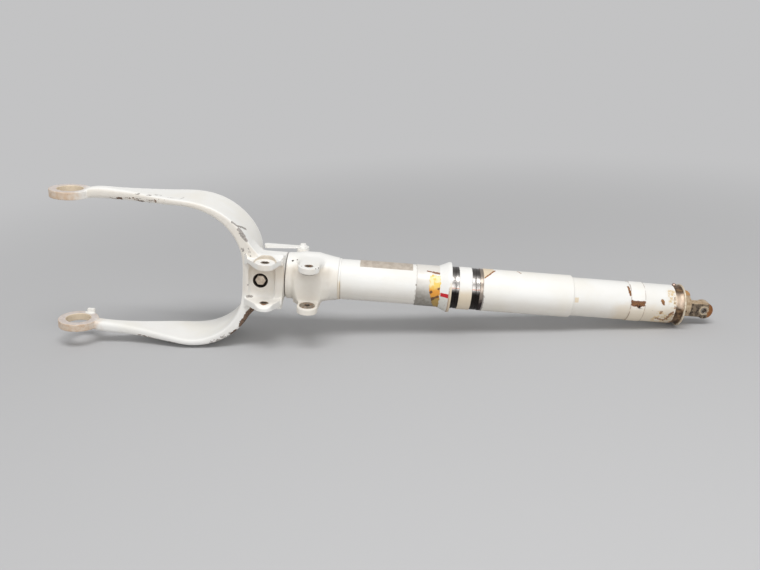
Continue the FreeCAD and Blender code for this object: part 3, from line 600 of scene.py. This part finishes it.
def journal_steel():
    """Ground steel with painted reflection: dark underneath and, less, on top, bright between, and
    a reddish line.
    """
    f = Finish("journal_steel")
    wander = f.wander(14, 5.0, 4.0, 0.6, stretch=(0.2, 1, 1))
    turn = f.turn + wander
    # Painted reflection: dark underneath and on top.
    dark_reflection = turn.under(11.0, 9.0) | turn.over(56.0, 12.0) * 0.75
    colour = f.mix(dark_reflection, (0.42, 0.40, 0.38), (0.03, 0.026, 0.024))
    # A reddish painted reflected line along the journal at one angle.
    scratch_and_reflection = abs(f.turn - 17.0 + f.wander(4, 5.0)).under(1.3, 0.5)
    colour = f.mix(scratch_and_reflection * 0.7, colour, (0.42, 0.20, 0.14))
    marks = f.grain(0.45, 2.0, 0.5, stretch=(4.0, 0.1, 0.1), shift=5.0)
    return f.surface(colour, 0.25 + f.grain(3.0, 3.0, shift=8.0) * 0.12, 1.0, f.bump(marks, 0.012))


def lock_ring_steel():
    f = Finish("lock_ring_steel")
    # Painted reflection: near black underneath.
    dark_reflection = (f.turn + f.wander(30, 4.0, 3.0)).under(-14.0, 12.0)
    colour = f.mix(dark_reflection, f.mix(f.grain(3.0, 4.0), (0.42, 0.36, 0.31), (0.27, 0.22, 0.18)),
                   (0.04, 0.03, 0.03))
    return f.surface(colour, 0.34 + dark_reflection * 0.1, 0.85, f.bump(f.grain(0.6, 2.0), 0.03))


def sleeve_and_cone():
    """One part, two finishes: bare steel up to the cone, darker towards the bottom and the fork
    end; white paint on the cone, greenish grey on its lower half as painted shade.
    """
    look = colours()
    f = Finish("sleeve_and_cone")
    ragged = f.x + f.wander(1.6, 3.0, 4.0, shift=3.0)
    cone = ragged.over(522.4, 0.25)
    pale = f.mix(f.grain(9.0, 4.0, 0.6), (0.84, 0.82, 0.78), (0.70, 0.66, 0.60))
    # Darker towards the bottom and towards the fork end.
    darkened = (-f.z - f.x * 0.35 + 172.0).over(-6.0, 20.0)
    darkened = darkened * (0.5 + f.grain(4.0, 4.0, shift=6.0) * 0.6)
    pale = f.mix(darkened, pale, (0.16, 0.14, 0.11))
    scratch_and_reflection = (f.streak((504.5, -13.8, 26.2), (513.7, -15.3, 25.3), 1.0, 1.0, 2.0)
               | f.streak((513.7, -15.3, 25.3), (522, -16.6, 24.5), 1.6, 1.1, 2.0))
    pale = f.mix(scratch_and_reflection, pale, (0.26, 0.11, 0.05))
    # Painted shade: the cone's white turns greenish grey on its lower half.
    white = f.mix((f.turn + f.wander(20, 9.0)).under(-2.0, 12.0) * 0.5,
                  tuple(look.paint), (0.62, 0.61, 0.52))
    wander = f.turn + f.wander(30, 3.0)
    rim = f.x.over(536.2, 0.3) * wander.under(24.0, 8.0)
    white = f.mix(rim * 0.75, white, (0.70, 0.56, 0.36))
    line = f.x.over(535.2, 0.3) * f.x.under(536.6, 0.3) * wander.under(14.0, 5.0)
    specks = f.grain(1.5, 3.0, 0.6, shift=13.0).over(0.62, 0.02) * f.turn.under(-14.0, 8.0)
    white = f.mix((line * 0.8 | specks * f.x.over(529.0, 2.0)) * 0.8, white, (0.36, 0.17, 0.07))
    colour = f.mix(cone, pale, white)
    height = f.grain(2.4, 3.0, shift=1.0)
    return f.surface(colour, 0.42 - cone * 0.1 + darkened * 0.1, (1.0 - cone) * 0.12,
                     f.bump(height, 0.05), coat_weight=0.08, coat_roughness=0.2)


def old_sticker():
    """The film of a worn yellow sticker: pale on the upper part as painted highlight, burnt orange,
    brown at the bottom.
    """
    f = Finish("old_sticker")
    turn = f.turn + f.wander(34, 7.0, 4.0, 0.6)
    colour = f.mix(turn.under(12.0, 9.0), (0.86, 0.60, 0.12), (0.78, 0.33, 0.04))
    colour = f.mix(turn.under(-14.0, 8.0), colour, (0.42, 0.27, 0.07))
    # Painted highlight: pale patches on the upper part.
    sticker_highlight = f.grain(6.5, 4.0, 0.6, shift=19.0).over(0.52, 0.06) * f.turn.over(16.0, 8.0)
    colour = f.mix(sticker_highlight * 0.75, colour, (0.88, 0.82, 0.56))
    blots = (f.blob(511, -29.6, 0.5, 2.2, 0.9) | f.blob(513.5, -27.8, -10, 3.0, 1.0)
             | f.blob(521.6, -28.9, 6, 1.8, 0.9) | f.blob(520.5, -29, -5.5, 2.6, 1.1)
             | f.blob(516.5, -28.5, -8, 1.6, 1.0))
    scuff = f.grain(4.0, 4.0, 0.65, shift=9.0).over(0.62, 0.03) * f.turn.under(4.0, 14.0)
    colour = f.mix((blots | scuff) * 0.9, colour, (0.10, 0.04, 0.02))
    return f.surface(colour, 0.42 + scuff * 0.25, 0.0, f.bump(f.grain(1.2, 3.0), 0.04))


def slippage_paint():
    look = colours()
    f = Finish("slippage_paint")
    colour = f.mix(f.grain(2.0, 3.0).over(0.55, 0.12), tuple(look.stripe), (0.42, 0.01, 0.02))
    return f.surface(colour, 0.34, 0.0, f.bump(f.grain(1.0, 2.0), 0.06))


def rubber():
    f = Finish("seal_rubber_look")
    colour = f.mix(f.grain(2.0), (0.02, 0.02, 0.02), (0.05, 0.045, 0.04))
    return f.surface(colour, 0.6, 0.0, f.bump(f.grain(0.6), 0.03))


def cap_bronze():
    """The cap nut: dark bronze with pale rubbed places and a cream painted highlight in a band
    round its upper front.
    """
    f = Finish("cap_bronze")
    rubbed = f.grain(6.0, 4.0, 0.6, shift=2.0).over(0.52, 0.14)
    colour = f.mix(rubbed, (0.07, 0.038, 0.02), (0.26, 0.16, 0.085))
    # Painted highlight: a cream band round the upper front.
    highlight_and_glow = (f.turn + f.wander(34, 6.0)).over(12.0, 15.0) * f.turn.under(50.0, 15.0)
    colour = f.mix(highlight_and_glow * 0.85, colour, (0.78, 0.62, 0.48))
    return f.surface(colour, 0.36 + rubbed * 0.14, 0.6 - highlight_and_glow * 0.4,
                     f.bump(f.grain(1.5, 3.0), 0.05))


def tang_steel():
    """The plug and tang: cream-tan on the cone, brown-grey on the tang, rust at its tip."""
    f = Finish("tang_steel")
    mottled = f.grain(5.0, 4.0, 0.62, shift=4.0)
    cream = f.mix(mottled.over(0.5, 0.16), (0.60, 0.48, 0.33), (0.40, 0.28, 0.17))
    brown = f.mix(mottled.over(0.5, 0.08), (0.25, 0.19, 0.13), (0.05, 0.036, 0.025))
    tang = (f.x + f.wander(5, 3.0)).over(887.0, 1.2) * f.z.under(5.6, 1.2)
    colour = f.mix(tang, cream, brown)
    round_bush = f.distance(f.moved((1, 0, 1)), (907.5, 0, -4))
    rubbed = (round_bush + f.wander(7, 2.0, 4.0, 0.65)).under(7.0, 0.9)
    colour = f.mix(rubbed * 0.75, colour, (0.66, 0.55, 0.39))
    tip = (f.x + f.wander(7, 3.0, shift=9.0)).over(913.5, 1.5)
    colour = f.mix(tip, colour, f.mix(f.grain(1.6), (0.14, 0.05, 0.02), (0.40, 0.17, 0.05)))
    ear = (-f.x).over(-892.0, 1.0) * f.z.over(13.0, 1.5) * f.y.over(6.0, 0.5)
    colour = f.mix(ear * 0.8, colour, (0.52, 0.27, 0.09))
    return f.surface(colour, 0.45 + mottled * 0.2, 0.45, f.bump(mottled, 0.12))


def lip_steel():
    f = Finish("lip_steel")
    colour = f.mix(f.grain(4.0, 4.0).over(0.5, 0.15), (0.76, 0.68, 0.54), (0.58, 0.47, 0.34))
    return f.surface(colour, 0.38, 0.25, f.bump(f.grain(0.8), 0.03))


def assign(obj, material):
    obj.data.materials.clear()
    obj.data.materials.append(material)


def link(mesh, name, body):
    obj = bpy.data.objects.new(name, mesh)
    bpy.context.scene.collection.objects.link(obj)
    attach(obj, body)
    return obj


def mesh_from(work, name):
    mesh = bpy.data.meshes.new(name)
    work.to_mesh(mesh)
    work.free()
    return mesh


def joined_mesh(name, nodes):
    """One mesh of several CAD nodes, with touching points merged."""
    work = bmesh.new()
    for node in nodes:
        work.from_mesh(NODES[node].data)
    bmesh.ops.remove_doubles(work, verts=work.verts, dist=2e-6)
    return mesh_from(work, name)


def rounded_copy(node, width):
    """A copy of a CAD node whose sharp edges are rounded, standing for that node."""
    mesh = joined_mesh(node + "_rounded", [node])
    if node == "stop_arm":
        deepen_arm(mesh)
    obj = link(mesh, node + "_piece", NODES[node]["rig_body"])
    bevel = obj.modifiers.new("rounding", "BEVEL")
    bevel.width = width * MM
    bevel.segments = 2
    bevel.limit_method = "ANGLE"
    bevel.angle_limit = SHARP_ANGLE
    bevel.use_clamp_overlap = True
    mesh.shade_smooth()
    mesh.set_sharp_from_angle(angle=SHARP_ANGLE)
    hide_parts(node)
    return obj


def deepen_arm(mesh):
    """Lowers the underside of the stop arm's bar, so that it reads as a forged arm."""
    top, bar_end, deeper = 34.8 * MM, 314 * MM, 2.6
    for vertex in mesh.vertices:
        if vertex.co.x < bar_end:
            vertex.co.z = top - (top - vertex.co.z) * deeper


def add_smoothing(obj, label, times):
    smooth = obj.modifiers.new(label, "SMOOTH")
    smooth.factor = 0.5
    smooth.iterations = times
    return smooth


def cast_skin(name, nodes, voxel, passes, free, moved, slack_passes, slack):
    """The nodes as one dense skin whose inner corners are blended as a forging's are.
    free gives 0 to 1 for a point: how far it may be smoothed.  slack does the same for the wide
    hollows, which get slack_passes more.  moved gives a point's new place.  A skin of more
    than MOST_TRIANGLES is thinned to that."""
    obj = link(joined_mesh(name, nodes), name, NODES[nodes[0]]["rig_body"])
    remesh = obj.modifiers.new("skin", "REMESH")
    remesh.mode = "VOXEL"
    remesh.voxel_size = voxel * MM
    graph = bpy.context.evaluated_depsgraph_get()
    dense = bpy.data.meshes.new_from_object(obj.evaluated_get(graph))
    obj.modifiers.clear()
    obj.data = dense
    for vertex in dense.vertices:
        vertex.co = moved(vertex.co / MM) * MM
    add_smoothing(obj, "settle", 2)
    for label, weight, times in (("slack", slack, slack_passes), ("blended", free, passes)):
        group = obj.vertex_groups.new(name=label)
        for vertex in dense.vertices:
            share = weight(vertex.co / MM)
            if share > 0:
                group.add([vertex.index], min(share, 1.0), "REPLACE")
        add_smoothing(obj, label, times).vertex_group = label
    triangles = len(dense.polygons) * 2
    if triangles > MOST_TRIANGLES:
        lighter = obj.modifiers.new("lighter", "DECIMATE")
        lighter.ratio = MOST_TRIANGLES / triangles
    dense.shade_smooth()
    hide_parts(*nodes)
    return obj


def curved_patch(name, sides, turn0, turn1, radius_at, thick, fray, body, seed):
    """A thin film on a round part, with torn edges.  sides gives both sides' places along the
    part at an angle."""
    columns, rows = 24, 64
    rim_share = 0.15
    work = bmesh.new()
    grid = []
    for i in range(columns + 1):
        line = []
        for j in range(rows + 1):
            u, v = i / columns, j / rows
            pull = fray * noise.noise(Vector((u * 5, v * 13, seed)))
            degrees = turn0 + (turn1 - turn0) * v + (pull * 3 if v in (0.0, 1.0) else 0)
            x0, x1 = sides(degrees)
            x = x0 + (x1 - x0) * u + pull * (1 if u in (0.0, 1.0) else 0)
            turn = math.radians(degrees)
            radius = radius_at(x) + thick * (rim_share if min(u, v, 1 - u, 1 - v) == 0 else 1)
            line.append(work.verts.new((x * MM, -radius * math.cos(turn) * MM,
                                        radius * math.sin(turn) * MM)))
        grid.append(line)
    for i in range(columns):
        for j in range(rows):
            work.faces.new((grid[i][j], grid[i + 1][j], grid[i + 1][j + 1], grid[i][j + 1]))
    bmesh.ops.recalc_face_normals(work, faces=work.faces)
    mesh = mesh_from(work, name)
    obj = link(mesh, name, body)
    body_of_film = obj.modifiers.new("film", "SOLIDIFY")
    body_of_film.thickness = 0.05 * MM
    mesh.shade_smooth()
    return obj


class StageOperator(bpy.types.Operator):
    """Makes the floor, the lamps, the world and the camera"""

    bl_idname = "strut.stage"
    bl_label = "Stage"

    def execute(self, context):
        settings = context.scene.strut_stage
        self.floor(settings)
        self.world()
        self.lamps(settings)
        self.camera(settings)
        context.scene.view_settings.view_transform = "Standard"
        return {"FINISHED"}

    @staticmethod
    def floor(settings):
        """A wide disc on which the lower leg and the cap's lip rest."""
        leg = Vector((0.195, 0.0, -0.1072))
        lip = Vector((0.870, 0.0, -0.0300))
        slope = math.atan2(lip.z - leg.z, lip.x - leg.x)
        work = bmesh.new()
        bmesh.ops.create_circle(work, cap_ends=True, segments=96, radius=7.0)
        obj = bpy.data.objects.new("floor", mesh_from(work, "floor"))
        hair_below = Vector((0, 0, 0.0006))
        obj.matrix_world = (Matrix.Translation((leg + lip) / 2 - hair_below)
                            @ Matrix.Rotation(-slope, 4, "Y"))
        bpy.context.scene.collection.objects.link(obj)
        f = Finish("floor_card")
        spot = f.add("ShaderNodeVectorMath", {"operation": "LENGTH"}, {0: f.point}, output="Value")
        away = spot.over(1000.0, 650.0)
        sheet = f.add("ShaderNodeBsdfDiffuse", {}, {"Color": (*settings.floor_colour, 1.0)})
        highlight_and_glow = f.add("ShaderNodeEmission", {}, {"Color": (*settings.floor_colour, 1.0),
                                                "Strength": FAR_FLOOR_GLOW})
        both = f.add("ShaderNodeMixShader", {}, {0: away, 1: sheet, 2: highlight_and_glow})
        f.add_output(both)
        assign(obj, f.material)

    @staticmethod
    def world():
        world = bpy.data.worlds.new("studio")
        world.use_nodes = True
        tree = world.node_tree
        tree.nodes.clear()
        path = tree.nodes.new("ShaderNodeLightPath")
        seen = tree.nodes.new("ShaderNodeMath")
        seen.operation = "MAXIMUM"
        tree.links.new(path.outputs["Is Camera Ray"], seen.inputs[0])
        tree.links.new(path.outputs["Is Glossy Ray"], seen.inputs[1])
        ambient = tree.nodes.new("ShaderNodeBackground")
        ambient.inputs["Color"].default_value = (1.0, 1.0, 1.0, 1.0)
        ambient.inputs["Strength"].default_value = AMBIENT
        backdrop = tree.nodes.new("ShaderNodeBackground")
        backdrop.inputs["Color"].default_value = BACKDROP
        mix = tree.nodes.new("ShaderNodeMixShader")
        tree.links.new(seen.outputs[0], mix.inputs[0])
        tree.links.new(ambient.outputs[0], mix.inputs[1])
        tree.links.new(backdrop.outputs[0], mix.inputs[2])
        out = tree.nodes.new("ShaderNodeOutputWorld")
        tree.links.new(mix.outputs[0], out.inputs["Surface"])
        bpy.context.scene.world = world

    @staticmethod
    def lamp(name, place, target, size, power):
        data = bpy.data.lights.new(name, "AREA")
        data.shape = "RECTANGLE"
        data.size, data.size_y = size
        data.energy = power
        obj = bpy.data.objects.new(name, data)
        obj.location = place
        obj.rotation_euler = (Vector(target) - Vector(place)).to_track_quat("-Z", "Y").to_euler()
        bpy.context.scene.collection.objects.link(obj)

    def lamps(self, settings):
        middle = (0.45, 0.0, 0.0)
        self.lamp("key", (0.2, -1.1, 2.8), middle, (2.2, 1.0), settings.key_power)
        self.lamp("fill", (0.9, -1.6, 0.6), middle, (1.2, 0.8), settings.fill_power)

    @staticmethod
    def camera(settings):
        data = bpy.data.cameras.new("camera")
        data.sensor_width = 36.0
        data.lens = settings.lens
        data.clip_start = 0.01
        data.clip_end = 50.0
        obj = bpy.data.objects.new("camera", data)
        right = Vector((0.99704, 0.01384, 0.07563))
        up = Vector((-0.07593, 0.33152, 0.94039))
        forward = Vector((0.01206, 0.94335, -0.33159))
        place = (0.42643, -1.00769, 0.34930)
        turn = Matrix((right, up, -forward)).transposed()
        obj.matrix_world = Matrix.Translation(place) @ turn.to_4x4()
        bpy.context.scene.collection.objects.link(obj)
        bpy.context.scene.camera = obj


class ForkOperator(bpy.types.Operator):
    """Makes the fork's forged skin with its worn paint and bare axle ends"""

    bl_idname = "strut.fork"
    bl_label = "Fork"

    def execute(self, context):
        def free(point):
            if point.x < AXLE_END_X:
                return 0.0
            bolt_seat = math.hypot(point.x - CROSS_BOLT_X, point.z) < BOLT_SEAT_R
            machined = bolt_seat and abs(point.y) > 24
            from_pin = math.hypot(point.x - FORK_LUG_X, point.y - LUG_PIN_Y)
            lug_face = abs(point.z) > 33 and from_pin < 15
            if machined or lug_face or point.x > 302:
                return 0.0
            return min(1.0, (point.x - AXLE_END_X) / 12)

        def moved(point):
            """Leaves the lugs' raised roots high only behind their spot faces, thins the upper
            lug's ends and the lower lug's tip, and slopes the block's front to the split."""
            lug_thick = LUG_OUTER_Z - LUG_INNER_Z
            beside = abs(point.x - FORK_LUG_X)
            root_flat, root_fall = 7, 0.55
            crest = max(LUG_OUTER_Z, LUG_ROOT_Z - root_fall * max(0.0, beside - root_flat))
            if point.y < LUG_FROM_Y and point.x > LUG_FROM_X and abs(point.z) < 41:
                point.z = max(-LUG_OUTER_Z, min(point.z, crest))
                end_from, end_slope, most_rise = 13, 0.32, 3.6
                if point.z > 0 and beside > end_from:
                    share = max(0.0, LUG_OUTER_Z - point.z) / lug_thick
                    rise = min(most_rise, end_slope * (beside - end_from))
                    point.z += rise * min(1.0, share)
            elif point.x > 264 and point.z > 0 and LUG_FROM_Y <= point.y < -20:
                gusset = 35.6 + max(0.0, 276 - point.x) * 0.62 + max(0.0, 268 - point.x) * 0.42
                back = max(0.0, point.y - LUG_FROM_Y) * 0.5
                point.z = min(point.z, max(crest + back, gusset))
            slope_from, slope = 292, 0.6
            if point.x > slope_from and point.y < -30 and abs(point.z) < 24.2:
                point.y = max(point.y, BLOCK_FRONT_Y + (point.x - slope_from) * slope)
            tip_from, tip_long, most_drop = -59, 7, 4.2
            if point.z < 0 and point.y < tip_from:
                height = max(0.0, min(1.0, (point.z + LUG_OUTER_Z) / lug_thick))
                point.z -= most_drop * min(1.0, (tip_from - point.y) / tip_long) * height
            return point

        def slack(point):
            """The pocket between the lugs, which is a soft dish."""
            front = -44
            inside = 254.9 < point.x < 294.2 and abs(point.z) < 27 and front < point.y < -28
            rim = point.y < -38.6 and abs(point.z) < 23.6
            if not inside or rim:
                return 0.0
            from_seat = math.hypot(point.x - CROSS_BOLT_X, point.z) - BOLT_SEAT_R
            return min(1.0, from_seat / 3.0) * min(1.0, (point.y - front) / 4.0)

        skin = cast_skin("fork_skin", FORK_SKIN_NODES, 0.8, 14, free, moved, 260, slack)
        paint = painted("fork_paint", fork_chips, fork_rust, fork_shadow_and_grime, bare=fork_bare,
                        painted_shade=fork_shade, sharp_edges=1.0,
                        rust_tones=((0.065, 0.042, 0.03), (0.27, 0.16, 0.10)))
        assign(skin, paint)
        return {"FINISHED"}


class CollarOperator(bpy.types.Operator):
    """Makes the cast lug collar's skin"""

    bl_idname = "strut.collar"
    bl_label = "Lug collar"

    def execute(self, context):
        # Radii of the collar's round at places along the strut.
        profile = ((305, 32.4), (318, 33.6), (329, 35.9), (350, 36.0), (359, 34.0), (372, 31.4),
                   (380, 30.4))
        lug_start, lug_end = 325.4, 355.6

        def round_radius(x):
            for (x0, r0), (x1, r1) in zip(profile, profile[1:]):
                if x <= x1:
                    return r0 + (r1 - r0) * (x - x0) / (x1 - x0)
            return profile[-1][1]

        def moved(point):
            """Brings the flat flanks beside the lugs down to the round of the collar."""
            beside = max(lug_start - point.x, point.x - lug_end)
            reach = math.hypot(point.y, point.z)
            limit = round_radius(point.x)
            foot = point.z < 0 and point.x < lug_start
            if beside > 0 and abs(point.z) > 23.5 and reach > limit and point.y < 12 and not foot:
                share = min(1.0, beside / 3.0) * (1.0 - limit / reach)
                point.y -= point.y * share
                point.z -= point.z * share
            return point

        def free(point):
            lug_face = abs(point.z) > 32.5 and point.y < -42
            return 0.15 if lug_face or point.x < 308 or point.x > 377 else 1.0

        def slack(point):
            """Where the upper lug's root runs into the round of the collar."""
            along = min(point.x - 309, 375 - point.x) / 4.0
            across = min((point.y + 46) / 7.0, (-4 - point.y) / 5.0)
            return min(1.0, along, across, (point.z - 9) / 6.0)

        skin = cast_skin("collar_skin", ("lug_collar",), 0.7, 24, free, moved, 140, slack)
        assign(skin, painted("collar_paint", collar_chips, grime_and_shadow=collar_grime_and_hole_shadow, painted_shade=collar_shade,
                             sharp_edges=0.2))
        return {"FINISHED"}


class MetalworkOperator(bpy.types.Operator):
    """Rounds the edges of the turned parts and fasteners and gives each its finish"""

    bl_idname = "strut.metalwork"
    bl_label = "Tube, rings and fasteners"

    def execute(self, context):
        pieces = {node: rounded_copy(node, width) for node, width in ROUNDED_NODES.items()}
        for node, obj in NODES.items():
            if node not in pieces and not obj.hide_render:
                pieces[node] = obj
        finishes = self.finishes()
        for node, obj in pieces.items():
            slot = NODES[node].data.materials[0].name if NODES[node].data.materials else ""
            finish = finishes.get(node) or finishes.get(slot.split(".")[0])
            if finish is None:
                raise RuntimeError("no finish for " + node)
            assign(obj, finish)
        return {"FINISHED"}

    @staticmethod
    def finishes():
        journal = journal_steel()
        bush = metal("bush_steel_look", (0.50, 0.46, 0.40), (0.26, 0.22, 0.18), 0.30, 3.0, rust=0.4)
        return {
            "cylinder": painted("tube_paint", tube_chips, tube_rust, tube_grime_and_hole_shadow, tube_stains,
                                painted_shade=underside_shade,
                                rust_tones=((0.13, 0.055, 0.025), (0.42, 0.20, 0.07))),
            "bearing_ring": painted("ring_paint", no_chips, stained=ring_stains),
            "upper_sleeve": painted("sleeve_paint", sleeve_chips, sleeve_rust, None, sleeve_stains,
                                    painted_shade=underside_shade),
            "clamp_band": painted("band_paint", no_chips, band_rust, band_hole_shadow, tube_stains,
                                  painted_shade=underside_shade,
                                  rust_tones=((0.10, 0.045, 0.025), (0.30, 0.13, 0.055))),
            "collar_seam_ring": painted("seam_paint", no_chips, stained=seam_stains),
            "stop_arm": painted("arm_paint", no_chips),
            "thrust_sleeve": sleeve_and_cone(),
            "lower_journal": journal, "upper_journal": journal, "journal_spacer": journal,
            "journal_lock_ring": lock_ring_steel(),
            "bush_steel": bush,
            "fastener_steel": metal("fastener_steel_look", (0.42, 0.36, 0.28), (0.22, 0.18, 0.13),
                                    0.38, 3.0, rust=0.35),
            "stop_arm_bolt": painted("arm_bolt_paint", no_chips),
            "fork_bolt": metal("bolt_head_steel", (0.70, 0.61, 0.50), (0.56, 0.46, 0.36), 0.42,
                               5.0, metallic=0.3),
            "fork_bolt_washers": metal("washer_steel", (0.06, 0.05, 0.04), (0.03, 0.025, 0.02),
                                       0.5, 2.0, metallic=0.5),
            "data_plate": metal("plate_metal", (0.62, 0.55, 0.47), (0.48, 0.41, 0.34), 0.42, 7.0,
                                metallic=0.35),
            "chrome": metal("chrome_look", (0.62, 0.63, 0.65), (0.56, 0.57, 0.59), 0.10, 14.0,
                            brushed=0.002, uneven=0.003),
            "bare_steel": metal("bare_steel_look", (0.50, 0.49, 0.47), (0.36, 0.34, 0.32), 0.32),
            "aluminium": metal("aluminium_look", (0.66, 0.66, 0.66), (0.52, 0.52, 0.52), 0.35),
            "bronze": metal("bronze_look", (0.52, 0.33, 0.14), (0.36, 0.22, 0.10), 0.35),
            "seal_rubber": rubber(),
            "dark_bronze": cap_bronze(),
            "cap_lock_screw": metal("screw_steel", (0.56, 0.42, 0.36), (0.38, 0.27, 0.21), 0.35,
                                    3.0, rust=0.2),
            "lip_washer": lip_steel(),
            "rusty_steel": tang_steel(),
            "brass": metal("brass_look", (0.60, 0.42, 0.16), (0.40, 0.28, 0.11), 0.33),
            "black_plastic": rubber(),
        }


class MarksOperator(bpy.types.Operator):
    """Adds the remains of a sticker and the red slippage mark"""

    bl_idname = "strut.marks"
    bl_label = "Sticker and slippage mark"

    def execute(self, context):
        sleeve_radius = 29.6
        cone_start, cone_slope = 522.0, (36.0 - 29.6) / 14.1

        def on_cone(x):
            return sleeve_radius + max(0.0, x - cone_start) * cone_slope

        def sticker_sides(turn):
            return 508.0 + max(0.0, 5.0 - turn) * 0.15, 523.4

        sticker = curved_patch("sticker_remains", sticker_sides, -66, 49, on_cone, 0.12, 1.8,
                               CYLINDER, 3.0)
        assign(sticker, old_sticker())
        stripe = curved_patch("slippage_mark", lambda turn: (524.4, 535.1), -7.5, 2.2, on_cone,
                              0.1, 0.5, CYLINDER, 8.0)
        assign(stripe, slippage_paint())
        return {"FINISHED"}


class StrutPanel(bpy.types.Panel):
    """Lists the strut's operators and settings"""

    bl_idname = "VIEW3D_PT_gear_strut"
    bl_label = "Gear Strut"
    bl_space_type = "VIEW_3D"
    bl_region_type = "UI"
    bl_category = "Gear Strut"

    def draw(self, context):
        layout = self.layout
        for operator in OPERATORS:
            layout.operator(operator.bl_idname)
        for group in (context.scene.strut_finish, context.scene.strut_stage):
            for name in type(group).__annotations__:
                layout.prop(group, name)


OPERATORS = (StageOperator, ForkOperator, CollarOperator, MetalworkOperator, MarksOperator)
CLASSES = (StrutFinish, StrutStage, *OPERATORS, StrutPanel)


def register():
    for cls in CLASSES:
        bpy.utils.register_class(cls)
    bpy.types.Scene.strut_finish = bpy.props.PointerProperty(type=StrutFinish)
    bpy.types.Scene.strut_stage = bpy.props.PointerProperty(type=StrutStage)


def unregister():
    del bpy.types.Scene.strut_stage
    del bpy.types.Scene.strut_finish
    for cls in reversed(CLASSES):
        bpy.utils.unregister_class(cls)


def main():
    register()
    for operator in OPERATORS:
        group, name = operator.bl_idname.split(".")
        getattr(getattr(bpy.ops, group), name)()


if __name__ == "__main__":
    main()
